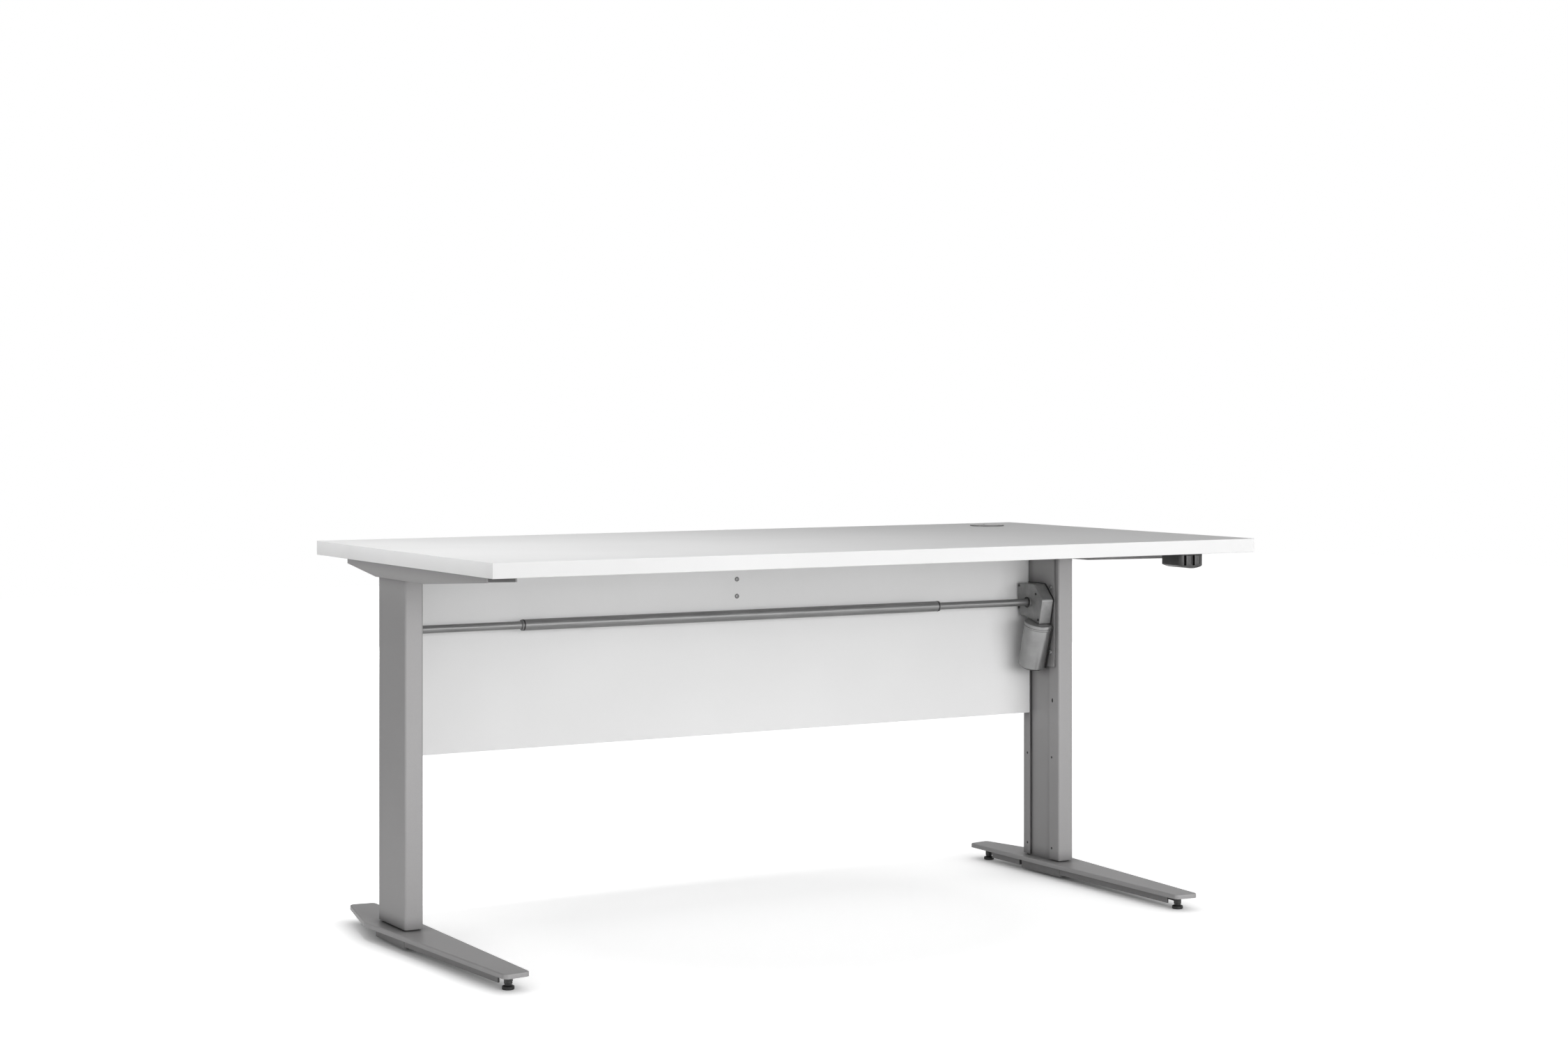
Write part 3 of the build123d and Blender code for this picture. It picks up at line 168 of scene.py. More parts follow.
COVER_HUB_STEPS = [(0.0, 0.0110), (0.0014, 0.0110), (0.0020, 0.0104)]
SEAL_STEPS = [(0.0, 0.0108), (0.0006, 0.0108), (0.0012, 0.0102), (0.0012, 0.0088), (0.0008, 0.0080)]
SEAL_BORE = 0.0074

# Cross shaft
SHAFT_PLACE = (0.0, 0.1635, 0.5425)
TUBE_RADIUS = 0.0100
TUBE_EDGE = 0.0008
TUBE_BORE = 0.0072
FERRULE_LENGTH = 0.0022
# Painted shade: a black ring fills each end groove of the tube, for the groove's dark inside
GROOVE_LENGTH = 0.0030
GROOVE_SHADE_RADIUS = 0.0102

# Hand switch
SWITCH_BODY_DEPTH = 0.0540
SWITCH_CORNER = 0.0090
SWITCH_BULGE_RADIUS = 0.06375
SWITCH_BULGE_LENGTH = 0.2000
SWITCH_EDGE = 0.0006
SWITCH_TAB_THICKNESS = 0.0040
SWITCH_TAB_INSET = 0.0050
SWITCH_TAB_OVERLAP = 0.0010
KEY_GAP = 0.0058
KEY_EXTRA_WIDTH = 0.0012
KEY_EXTRA_HEIGHT = 0.0020
KEY_SETBACK = 0.0026
KEY_CLEARANCE = 0.0003
KEY_POCKET_DEPTH = 0.0118
KEY_ROUND = 0.0012
KEY_RIM = 0.0014
KEY_DISH = 0.0006
ARROW_RADIUS = 0.0024
ARROW_HEIGHT = 0.0003

# Cable grommet
GROMMET_BORE = 0.0249
CABLE_SLOT_HALF = 0.0080
CABLE_SLOT_END = 0.0162
SLOT_CUTTER_HALF = 0.0200

# A black dish in a hole of the front lip of the right outer column, for the hole's dark inside: painted
# shade. Its place as (y, z)
LIP_HOLE_SHADE_STEPS = [(0.0, 0.0021), (0.0004, 0.0021), (0.0006, 0.0017), (0.0002, 0.0012)]
LIP_HOLE_SHADE_STRETCH = 1.9
LIP_HOLE_SHADES = ((0.1230, 0.3490),)


# Helpers for shader nodes
def new_node(tree, kind, **inputs):
    """A shader node with some of its sockets set. Underscores in a socket's name stand for spaces."""
    made = tree.nodes.new(kind)
    for name, value in inputs.items():
        made.inputs[name.replace("_", " ")].default_value = value
    return made


def link(tree, source, out, target, into):
    tree.links.new(source.outputs[out], target.inputs[into])


def new_finish(name, colour, roughness, metallic=0.0, gloss=0.5):
    """A material with one Principled shader, and Object coordinates to hang a pattern on."""
    made = bpy.data.materials.new(name)
    made.use_nodes = True
    tree = made.node_tree
    shader = tree.nodes["Principled BSDF"]
    shader.inputs["Base Color"].default_value = (*colour, 1.0)
    shader.inputs["Roughness"].default_value = roughness
    shader.inputs["Metallic"].default_value = metallic
    shader.inputs["Specular IOR Level"].default_value = gloss
    place = tree.nodes.new("ShaderNodeTexCoord")
    spread = tree.nodes.new("ShaderNodeMapping")
    spread.name = "spread"
    link(tree, place, "Object", spread, "Vector")
    return made


def noise(finish, scale, detail=2.0, stretch=None):
    """A noise pattern on the finish's own coordinates, drawn out along some axes by stretch."""
    tree = finish.node_tree
    pattern = new_node(tree, "ShaderNodeTexNoise", Scale=scale, Detail=detail)
    spread = tree.nodes["spread"]
    if stretch:
        spread = tree.nodes.new("ShaderNodeMapping")
        spread.inputs["Scale"].default_value = stretch
        link(tree, tree.nodes["spread"], "Vector", spread, "Vector")
    link(tree, spread, "Vector", pattern, "Vector")
    return pattern


def vary_colour(finish, pattern, dark, light, low=0.35, high=0.65):
    """Runs the base colour from dark to light along a pattern."""
    tree = finish.node_tree
    ramp = tree.nodes.new("ShaderNodeValToRGB")
    ramp.color_ramp.elements[0].position = low
    ramp.color_ramp.elements[0].color = (*dark, 1.0)
    ramp.color_ramp.elements[1].position = high
    ramp.color_ramp.elements[1].color = (*light, 1.0)
    link(tree, pattern, "Fac", ramp, "Fac")
    link(tree, ramp, "Color", tree.nodes["Principled BSDF"], "Base Color")


def vary_roughness(finish, pattern, low, high):
    tree = finish.node_tree
    span = new_node(tree, "ShaderNodeMapRange", To_Min=low, To_Max=high)
    link(tree, pattern, "Fac", span, "Value")
    link(tree, span, "Result", tree.nodes["Principled BSDF"], "Roughness")


def raise_grain(finish, pattern, strength, height):
    """Bump from a pattern, of a height in metres, on top of any bump that is already there."""
    tree = finish.node_tree
    shader = tree.nodes["Principled BSDF"]
    bump = new_node(tree, "ShaderNodeBump", Strength=strength, Distance=height)
    link(tree, pattern, "Fac", bump, "Height")
    below = shader.inputs["Normal"].links
    if below:
        tree.links.new(below[0].from_socket, bump.inputs["Normal"])
    link(tree, bump, "Normal", shader, "Normal")


def paint_corner_shade(finish, reach, darkest):
    """Darkens the base colour where other surfaces are near: painted shade in corners, creases and under
    things.
    """
    tree = finish.node_tree
    shader = tree.nodes["Principled BSDF"]
    painted_shade = new_node(tree, "ShaderNodeAmbientOcclusion", Distance=reach)
    span = new_node(tree, "ShaderNodeMapRange", To_Min=darkest, To_Max=1.0)
    link(tree, painted_shade, "AO", span, "Value")
    darker = tree.nodes.new("ShaderNodeVectorMath")
    darker.operation = "SCALE"
    tree.links.new(shader.inputs["Base Color"].links[0].from_socket, darker.inputs[0])
    link(tree, span, "Result", darker, "Scale")
    link(tree, darker, "Vector", shader, "Base Color")


def shade(value, tint=(1.0, 1.0, 1.0)):
    """A grey of a linear value, with a slight tint."""
    return tuple(value * part for part in tint)


# Finishes
def melamine():
    made = new_finish("melamine_white", shade(0.86), 0.42, gloss=0.06)
    vary_colour(made, noise(made, 3.0), shade(0.845), shade(0.875))
    vary_roughness(made, noise(made, 220.0), 0.36, 0.48)
    raise_grain(made, noise(made, 900.0, 3.0), strength=0.12, height=0.0002)
    return made


def edge_band():
    made = new_finish("edge_white", shade(0.80), 0.40, gloss=0.10)
    vary_colour(made, noise(made, 4.0), shade(0.785), shade(0.815))
    vary_roughness(made, noise(made, 300.0), 0.30, 0.42)
    raise_grain(made, noise(made, 1400.0), strength=0.08, height=0.0001)
    return made


def powder_coat():
    tint = (1.0, 0.985, 0.99)
    made = new_finish("silver_paint", shade(0.365, tint), 0.40, metallic=0.15, gloss=0.03)
    vary_colour(made, noise(made, 1800.0, 4.0), shade(0.335, tint), shade(0.395, tint), low=0.3, high=0.7)
    vary_roughness(made, noise(made, 9.0), 0.36, 0.44)
    raise_grain(made, noise(made, 1100.0, 3.0), strength=0.20, height=0.0002)
    # Painted shade: the silver paint is darkened near other surfaces, such as under the foot plates and at
    # the column bases
    paint_corner_shade(made, reach=0.025, darkest=0.15)
    return made


def die_cast():
    made = new_finish("gearbox_grey", shade(0.23), 0.40, metallic=0.5)
    vary_colour(made, noise(made, 60.0, 4.0), shade(0.21), shade(0.26))
    vary_roughness(made, noise(made, 30.0), 0.32, 0.46)
    raise_grain(made, noise(made, 700.0, 4.0), strength=0.25, height=0.0003)
    return made


def motor_paint():
    made = new_finish("motor_grey", shade(0.30), 0.30, metallic=0.7)
    vary_colour(made, noise(made, 40.0, 3.0), shade(0.28), shade(0.32))
    vary_roughness(made, noise(made, 25.0), 0.26, 0.36)
    raise_grain(made, noise(made, 900.0, 3.0), strength=0.12, height=0.0002)
    return made


def drawn_steel():
    made = new_finish("steel", shade(0.20), 0.40, metallic=0.5)
    lines = noise(made, 900.0, 3.0, stretch=(0.02, 1.0, 1.0))
    vary_colour(made, lines, shade(0.165), shade(0.235))
    vary_roughness(made, lines, 0.30, 0.46)
    raise_grain(made, lines, strength=0.08, height=0.0001)
    return made


def bronze():
    made = new_finish("bronze", (0.55, 0.38, 0.16), 0.35, metallic=0.9)
    vary_colour(made, noise(made, 80.0, 3.0), (0.48, 0.32, 0.13), (0.60, 0.43, 0.19))
    raise_grain(made, noise(made, 600.0), strength=0.1, height=0.0002)
    return made


def moulded(name, value, roughness):
    """A moulded plastic with a fine spark-eroded grain."""
    made = new_finish(name, shade(value), roughness)
    vary_colour(made, noise(made, 25.0), shade(value * 0.9), shade(value * 1.1))
    vary_roughness(made, noise(made, 400.0), roughness - 0.06, roughness + 0.06)
    raise_grain(made, noise(made, 1600.0, 3.0), strength=0.3, height=0.0002)
    return made


def circuit_mask():
    made = new_finish("board_green", (0.02, 0.10, 0.04), 0.35)
    vary_colour(made, noise(made, 150.0), (0.015, 0.08, 0.03), (0.03, 0.13, 0.05))
    raise_grain(made, noise(made, 500.0), strength=0.2, height=0.0002)
    return made


def blackened():
    """Screws blackened in oil."""
    made = new_finish("black_steel", shade(0.05), 0.40, metallic=0.7)
    vary_colour(made, noise(made, 400.0), shade(0.035), shade(0.07))
    vary_roughness(made, noise(made, 700.0), 0.34, 0.48)
    raise_grain(made, noise(made, 1500.0), strength=0.1, height=0.0001)
    return made


finishes = {
    "melamine_white": melamine(),
    "edge_white": edge_band(),
    "silver_paint": powder_coat(),
    "gearbox_grey": die_cast(),
    "motor_grey": motor_paint(),
    "steel": drawn_steel(),
    "black_steel": blackened(),
    "bronze": bronze(),
    "black_plastic": moulded("black_plastic", 0.012, 0.45),
    "grey_plastic": moulded("grey_plastic", 0.14, 0.45),
    "pale_plastic": moulded("pale_plastic", 0.55, 0.35),
    "button_grey": moulded("button_grey", 0.03, 0.4),
    "white_plastic": moulded("white_plastic", 0.7, 0.45),
    "board_green": circuit_mask(),
}

for row in frame["record"]["subparts"]:
    mesh = nodes[row["node"]].data
    mesh.materials.clear()
    mesh.materials.append(finishes[row["material_slot"]])


# Helpers for modelling
def start_clean():
    """Leaves edit mode and selects nothing."""
    if bpy.context.object and bpy.context.object.mode != "OBJECT":
        bpy.ops.object.mode_set(mode="OBJECT")
    bpy.ops.object.select_all(action="DESELECT")


def named(name):
    """Names the shape that was just added."""
    shape = bpy.context.object
    shape.name = name
    shape.data.name = name
    return shape


def only(shape):
    """Makes one shape the selected and active one."""
    start_clean()
    shape.select_set(True)
    bpy.context.view_layer.objects.active = shape


def open_edit(shape, kind):
    """Opens edit mode for faces, edges or points, with none of them selected."""
    only(shape)
    bpy.ops.object.mode_set(mode="EDIT")
    bpy.ops.mesh.select_mode(type=kind)
    bpy.ops.mesh.select_all(action="DESELECT")


def select_faces(shape, test):
    """Opens edit mode with the faces selected whose middle and normal pass a test."""
    open_edit(shape, "FACE")
    bpy.ops.object.mode_set(mode="OBJECT")
    for face in shape.data.polygons:
        face.select = test(face.center, face.normal)
    bpy.ops.object.mode_set(mode="EDIT")


def select_edges(shape, test):
    """Opens edit mode with the edges selected whose two ends pass a test."""
    open_edit(shape, "EDGE")
    bpy.ops.object.mode_set(mode="OBJECT")
    points = shape.data.vertices
    for edge in shape.data.edges:
        first, second = (points[number].co for number in edge.vertices)
        edge.select = test(first, second)
    bpy.ops.object.mode_set(mode="EDIT")


def select_points(shape, test):
    """Opens edit mode with the points selected that pass a test."""
    open_edit(shape, "VERT")
    bpy.ops.object.mode_set(mode="OBJECT")
    for point in shape.data.vertices:
        point.select = test(point.co)
    bpy.ops.object.mode_set(mode="EDIT")


def point_outwards():
    """Turns all faces of the shape in edit mode outwards, and leaves edit mode."""
    bpy.ops.mesh.select_all(action="SELECT")
    bpy.ops.mesh.normals_make_consistent(inside=False)
    bpy.ops.object.mode_set(mode="OBJECT")


def settle(shape, place=(0, 0, 0), turn=(0, 0, 0)):
    """Turns a shape, moves it, and writes its place into its mesh."""
    only(shape)
    shape.rotation_euler = [old + math.radians(angle) for old, angle in zip(shape.rotation_euler, turn)]
    shape.location = [old + step for old, step in zip(shape.location, place)]
    bpy.ops.object.transform_apply(location=True, rotation=True, scale=True)


def turned(name, steps, sides=TURNED_SIDES):
    """A turned shape on +Z: a disc, drawn up or down step by step to each (height, radius)."""
    start_clean()
    level, radius = steps[0]
    bpy.ops.mesh.primitive_circle_add(vertices=sides, radius=radius, fill_type="NGON",
                                      location=(0, 0, level))
    shape = named(name)
    bpy.ops.object.mode_set(mode="EDIT")
    bpy.ops.mesh.select_all(action="SELECT")
    for next_level, next_radius in steps[1:]:
        bpy.ops.mesh.extrude_region_move(TRANSFORM_OT_translate={"value": (0, 0, next_level - level)})
        share = next_radius / radius
        bpy.ops.transform.resize(value=(share, share, 1), center_override=(0, 0, next_level))
        level, radius = next_level, next_radius
    point_outwards()
    settle(shape)
    return shape


def add_block(low, high):
    """A block between two corners."""
    start_clean()
    low, high = Vector(low), Vector(high)
    bpy.ops.mesh.primitive_cube_add(size=1, location=(low + high) / 2, scale=high - low)
    block = bpy.context.object
    settle(block)
    return block


def cut(shape, cutter, way="DIFFERENCE"):
    """Cuts one shape out of another, keeps only what they share, or makes them one."""
    only(shape)
    cutting = shape.modifiers.new("cut", "BOOLEAN")
    cutting.object = cutter
    cutting.operation = way
    bpy.ops.object.modifier_apply(modifier=cutting.name)
    bpy.data.objects.remove(cutter)


def joined(shapes):
    """Some shapes as one."""
    start_clean()
    for shape in shapes:
        shape.select_set(True)
    bpy.context.view_layer.objects.active = shapes[0]
    if len(shapes) > 1:
        bpy.ops.object.join()
    return shapes[0]


def copied(shape, places, turn=(0, 0, 0)):
    """Copies of a shape at some places, as one shape. The first one goes."""
    copies = []
    for place in places:
        only(shape)
        bpy.ops.object.duplicate()
        copies.append(bpy.context.object)
        settle(copies[-1], place, turn)
    bpy.data.objects.remove(shape)
    return joined(copies)


def fitted(shape, name, finish, slot, body, *replaced):
    """Finishes a piece: its name, surface and body, and the CAD pieces that it stands for."""
    only(shape)
    named(name)
    bpy.ops.object.shade_smooth_by_angle(angle=math.radians(SMOOTH_EDGE))
    shape.data.materials.clear()
    shape.data.materials.append(finish)
    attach(shape, body)
    if replaced:
        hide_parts(*replaced)


def flattened(shape, flat, low=0, high=math.inf):
    """Presses one side of a turned shape flat, for the points between two radii."""
    select_points(shape, lambda point: point.x > flat and low < math.hypot(point.x, point.y) < high)
    bpy.ops.transform.resize(value=(0, 1, 1), center_override=(flat, 0, 0))
    bpy.ops.object.mode_set(mode="OBJECT")


def bored(shape, radius, low, high):
    """Bores a hole along Z."""
    start_clean()
    bpy.ops.mesh.primitive_cylinder_add(vertices=TURNED_SIDES, radius=radius, depth=high - low,
                                        location=(0, 0, (low + high) / 2))
    cut(shape, bpy.context.object)


def socket_screw(sizes):
    """A button head screw on +Z with a hexagon socket, the underside of its head at z = 0."""
    radius, height, shank, length = sizes
    steps = [(-length, shank), (0, shank), (0, radius)]
    steps += [(rise * height, share * radius) for rise, share in HEAD_SHARES]
    screw = turned("screw", steps, SCREW_SIDES)
    start_clean()
    bpy.ops.mesh.primitive_cylinder_add(vertices=SOCKET_SIDES, radius=SOCKET_SHARE * radius, depth=height,
                                        location=(0, 0, height))
    cut(screw, bpy.context.object)
    return screw


# Levelling feet, with a ribbed pad
def make_levelling_feet():
    foot = turned("foot", LEVELLER_STEPS)
    pad_top = LEVELLER_STEPS[2][0]
    step = 2 * math.pi / TURNED_SIDES

    def every_other(middle, normal):
        turn = math.atan2(middle.y, middle.x) % (2 * math.pi)
        return abs(normal.z) < 1 - FACING and middle.z < pad_top and int(turn / step) % 2 == 0

    select_faces(foot, every_other)
    bpy.ops.mesh.inset(thickness=GRIP_INSET, depth=-GRIP_DEPTH, use_individual=True)
    for corner in ("front_left", "front_right", "rear_left", "rear_right"):
        low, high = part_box(corner + "_leveller")
        only(foot)
        bpy.ops.object.duplicate()
        piece = bpy.context.object
        settle(piece, ((low.x + high.x) / 2, (low.y + high.y) / 2, low.z))
        fitted(piece, corner + "_levelling_foot", finishes["black_plastic"], "black_plastic",
               corner + "_foot", corner + "_leveller")
    bpy.data.objects.remove(foot)


# Motor
def make_motor():
    can = turned("can", MOTOR_CAN_STEPS)
    flattened(can, MOTOR_FLAT, low=MOTOR_MIDWALL)
    flattened(can, MOTOR_INNER_FLAT, high=MOTOR_MIDWALL)
    settle(can, MOTOR_PLACE, MOTOR_TURN)
    fitted(can, "motor_body", finishes["motor_grey"], "motor_grey", "lift_frame", "motor_can")
    cap = turned("cap", MOTOR_CAP_STEPS)
    flattened(cap, MOTOR_FLAT)
    bored(cap, MOTOR_BORE, MOTOR_CAP_STEPS[0][0] - OVERSHOOT, MOTOR_CAP_STEPS[-1][0] + OVERSHOOT)
    settle(cap, MOTOR_PLACE, MOTOR_TURN)
    fitted(cap, "motor_top", finishes["motor_grey"], "motor_grey", "lift_frame", "motor_cap")
    cover = turned("cover", TAIL_COVER_STEPS)
    flattened(cover, MOTOR_INNER_FLAT)
    end = TAIL_COVER_STEPS[3][0]
    bored(cover, TAIL_COVER_BORE, TAIL_COVER_STEPS[0][0] - OVERSHOOT, end + OVERSHOOT)
    places = [(side * TAIL_BOLT_X, side * TAIL_BOLT_Y, end) for side in (-1, 1)]
    tail = joined([cover, copied(socket_screw(TAIL_BOLT), places)])
    settle(tail, MOTOR_PLACE, MOTOR_TURN)
    fitted(tail, "motor_tail_cover", finishes["black_plastic"], "black_plastic", "lift_frame")


# Gearbox
def gearbox_blank(low, high):
    """The gearbox outline between two places along X, with rounded corners."""
    start_clean()
    bpy.ops.mesh.primitive_circle_add(vertices=len(GEARBOX_OUTLINE), fill_type="NGON")
    blank = bpy.context.object
    starts = [point.co.copy() for point in blank.data.vertices]
    for start, (y, z) in zip(starts, GEARBOX_OUTLINE):
        select_points(blank, lambda point: (point - start).length < MERGE_GAP)
        bpy.ops.transform.translate(value=Vector((low, y, z)) - start)
    bpy.ops.mesh.select_mode(type="FACE")
    bpy.ops.mesh.select_all(action="SELECT")
    bpy.ops.mesh.extrude_region_move(TRANSFORM_OT_translate={"value": (high - low, 0, 0)})
    point_outwards()
    select_edges(blank, lambda first, second: abs(first.x - second.x) > (high - low) / 2)
    bpy.ops.mesh.bevel(offset=GEARBOX_CORNER, segments=5)
    bpy.ops.object.mode_set(mode="OBJECT")
    return blank


def cut_rod(shape, radius, low, high, place, turn):
    """Cuts a round hole out of a shape, along the Z axis of a place."""
    start_clean()
    bpy.ops.mesh.primitive_cylinder_add(vertices=TURNED_SIDES, radius=radius, depth=high - low,
                                        location=(0, 0, (low + high) / 2))
    rod = bpy.context.object
    settle(rod)
    settle(rod, place, turn)
    cut(shape, rod)


def cut_gearbox_holes(shape, low, high):
    """The holes in both halves of the gearbox: for the worm, its shaft and the cover screws."""
    cut_rod(shape, WORM_POCKET_RADIUS, WORM_POCKET_TOP, WORM_POCKET_END, MOTOR_PLACE, MOTOR_TURN)
    cut_rod(shape, MOTOR_BORE, 0, WORM_SHAFT_HOLE_END, MOTOR_PLACE, MOTOR_TURN)
    for y, z in COVER_SCREWS:
        cut_rod(shape, COVER_SCREW_HOLE, low, high, (0, y, z), ALONG_X)


def make_gearbox():
    low, high = (corner.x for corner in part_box("gearbox_case"))
    face = low - GEARBOX_COVER
    on_shaft = (0, SHAFT_PLACE[1], SHAFT_PLACE[2])
    case = gearbox_blank(low, high)
    cut_rod(case, WHEEL_POCKET_RADIUS, face, WHEEL_POCKET_END, on_shaft, ALONG_X)
    cut_rod(case, WHEEL_HUB_POCKET_RADIUS, low, WHEEL_HUB_POCKET_END, on_shaft, ALONG_X)
    cut_rod(case, SHAFT_HOLE_RADIUS, low, high + GEARBOX_COVER, on_shaft, ALONG_X)
    cut_gearbox_holes(case, face, face + COVER_SCREW[3])
    fitted(case, "gearbox_housing", finishes["gearbox_grey"], "gearbox_grey", "lift_frame", "gearbox_case")
    cover = gearbox_blank(face, low)
    select_edges(cover, lambda first, second: max(first.x, second.x) < face + MERGE_GAP)
    bpy.ops.mesh.bevel(offset=GEARBOX_RIM, segments=3)
    hub = turned("hub", COVER_HUB_STEPS)
    settle(hub, (face, SHAFT_PLACE[1], SHAFT_PLACE[2]), AGAINST_X)
    cut(cover, hub, "UNION")
    cut_rod(cover, SHAFT_HOLE_RADIUS, face - GEARBOX_COVER, low + GEARBOX_COVER, on_shaft, ALONG_X)
    cut_gearbox_holes(cover, face - GEARBOX_COVER, low + GEARBOX_COVER)
    fitted(cover, "gearbox_lid", finishes["gearbox_grey"], "gearbox_grey", "lift_frame", "gearbox_cover")


def make_gasket_and_shadow_strip():
    """The black rim between the gearbox and its plate, and a black strip beside the motor that stands for
    the shade in the gap between motor and plate: painted shadow.
    """
    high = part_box("gearbox_case")[1].x
    low = high - GASKET_THICKNESS
    rim = gearbox_blank(low, high)
    select_points(rim, lambda point: True)
    bpy.ops.transform.resize(value=(1, GASKET_RATIO, GASKET_RATIO), center_override=GASKET_CENTRE)
    bpy.ops.object.mode_set(mode="OBJECT")
    cut(rim, gearbox_blank(low - GASKET_THICKNESS, high + GASKET_THICKNESS))
    # Painted shadow: a black strip in the shaded gap between the motor and its plate
    shadow_strip = add_block(MOTOR_SHADOW_STRIP_LOW, MOTOR_SHADOW_STRIP_HIGH)
    select_edges(shadow_strip, lambda first, second: True)
    bpy.ops.mesh.bevel(offset=MOTOR_SHADOW_STRIP_EDGE, segments=2)
    bpy.ops.object.mode_set(mode="OBJECT")
    settle(shadow_strip, MOTOR_PLACE, MOTOR_TURN)
    fitted(joined([rim, shadow_strip]), "drive_gasket_and_shadow_strip", finishes["black_plastic"], "black_plastic", "lift_frame")


def make_shaft_seal():
    """The rubber seal where the shaft goes into the gearbox."""
    seal = turned("seal", SEAL_STEPS)
    bored(seal, SEAL_BORE, -OVERSHOOT, OVERSHOOT)
    settle(seal, (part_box("gearbox_cover")[0].x, SHAFT_PLACE[1], SHAFT_PLACE[2]), AGAINST_X)
    fitted(seal, "shaft_seal", finishes["black_plastic"], "black_plastic", "lift_frame")


# Screws
def make_screws():
    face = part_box("motor_plate")[0].x
    right_places = [(face, PLATE_SCREW_Y, z) for z in RIGHT_PLATE_SCREWS]
    left_places = [(-face, PLATE_SCREW_Y, z) for z in LEFT_PLATE_SCREWS]
    right = copied(socket_screw(PLATE_SCREW), right_places, AGAINST_X)
    left = copied(socket_screw(PLATE_SCREW), left_places, ALONG_X)
    fitted(joined([right, left]), "plate_button_screws", finishes["steel"], "steel", "lift_frame",
           "plate_screws")
    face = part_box("modesty_panel")[0].y
    panel = copied(socket_screw(PANEL_SCREW), [(0, face, z) for z in PANEL_SCREWS], AGAINST_Y)
    fitted(panel, "panel_button_screws", finishes["steel"], "steel", "lift_frame", "panel_screws")
    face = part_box("gearbox_case")[0].x - GEARBOX_COVER
    cover = copied(socket_screw(COVER_SCREW), [(face, y, z) for y, z in COVER_SCREWS], AGAINST_X)
    fitted(cover, "cover_button_screws", finishes["black_steel"], "steel", "lift_frame",
           "gearbox_cover_screws")


# Cross shaft: a tube with a ferrule and a groove at each end, and in each groove a black ring for the
# groove's shade: painted shade
def make_drive_tube():
    low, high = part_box("drive_tube")
    groove = FERRULE_LENGTH + GROOVE_LENGTH
    steps = [(low.x, TUBE_RADIUS - TUBE_EDGE), (low.x + TUBE_EDGE, TUBE_RADIUS),
             (low.x + FERRULE_LENGTH, TUBE_RADIUS), (low.x + FERRULE_LENGTH, TUBE_RADIUS - TUBE_EDGE),
             (low.x + groove, TUBE_RADIUS - TUBE_EDGE), (low.x + groove, TUBE_RADIUS)]
    steps += [(low.x + high.x - place, radius) for place, radius in reversed(steps)]
    tube = turned("tube", steps)
    bored(tube, TUBE_BORE, low.x - OVERSHOOT, high.x + OVERSHOOT)
    settle(tube, SHAFT_PLACE, ALONG_X)
    fitted(tube, "cross_tube", finishes["steel"], "steel", "drive_shaft", "drive_tube")
    # Painted shade: black rings in the end grooves, where the grooves are in shade
    groove_shade = turned("groove_shade", [(0, GROOVE_SHADE_RADIUS - TUBE_EDGE / 2), (TUBE_EDGE / 2, GROOVE_SHADE_RADIUS),
                           (GROOVE_LENGTH - TUBE_EDGE / 2, GROOVE_SHADE_RADIUS),
                           (GROOVE_LENGTH, GROOVE_SHADE_RADIUS - TUBE_EDGE / 2)])
    bored(groove_shade, TUBE_RADIUS - TUBE_EDGE, -OVERSHOOT, OVERSHOOT)
    starts = (low.x + FERRULE_LENGTH, high.x - groove)
    groove_shades = copied(groove_shade, [(x, SHAFT_PLACE[1], SHAFT_PLACE[2]) for x in starts], ALONG_X)
    fitted(groove_shades, "cross_tube_groove_shades", finishes["black_plastic"], "black_plastic", "drive_shaft")


# Hand switch
def key_box(node):
    """The corners of a key with its finger space, a little larger than the pressed part."""
    low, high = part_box(node)
    low.z -= KEY_EXTRA_HEIGHT
    high += Vector((KEY_EXTRA_WIDTH, 0, KEY_EXTRA_HEIGHT))
    return low, high


def make_switch_shell():
    low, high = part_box("switch_housing")
    middle = (low.x + high.x) / 2
    back = low.y + SWITCH_BODY_DEPTH
    shell = add_block(low, (high.x, back, high.z))
    select_edges(shell, lambda first, second: max(first.y, second.y) < low.y + MERGE_GAP
                 and abs(first.x - second.x) < MERGE_GAP)
    bpy.ops.mesh.bevel(offset=SWITCH_CORNER, segments=8)
    start_clean()
    bpy.ops.mesh.primitive_cylinder_add(vertices=4 * TURNED_SIDES, radius=SWITCH_BULGE_RADIUS,
                                        depth=SWITCH_BULGE_LENGTH,
                                        location=(middle, low.y, low.z + SWITCH_BULGE_RADIUS),
                                        rotation=(math.radians(90), 0, 0))
    cut(shell, bpy.context.object, "INTERSECT")
    only(shell)
    rounding = shell.modifiers.new("rounding", "BEVEL")
    rounding.width = SWITCH_EDGE
    rounding.segments = 2
    rounding.limit_method = "ANGLE"
    rounding.angle_limit = math.radians(SHARP_EDGE)
    bpy.ops.object.modifier_apply(modifier=rounding.name)
    gap = Vector((KEY_CLEARANCE, 0, KEY_CLEARANCE))
    for node in ("down_button", "up_button"):
        key_low, key_high = key_box(node)
        key_low.y = low.y - OVERSHOOT
        key_high.y = low.y + KEY_POCKET_DEPTH
        cut(shell, add_block(key_low - gap, key_high + gap))
    tab = add_block((low.x + SWITCH_TAB_INSET, back - SWITCH_TAB_OVERLAP, high.z - SWITCH_TAB_THICKNESS),
                    (high.x - SWITCH_TAB_INSET, high.y, high.z))
    select_edges(tab, lambda first, second: abs(first.z - second.z) > SWITCH_TAB_THICKNESS / 2
                 and first.y > back)
    bpy.ops.mesh.bevel(offset=SWITCH_TAB_THICKNESS, segments=4)
    fitted(joined([shell, tab]), "switch_shell", finishes["black_plastic"], "black_plastic", "lift_frame",
           "switch_housing")


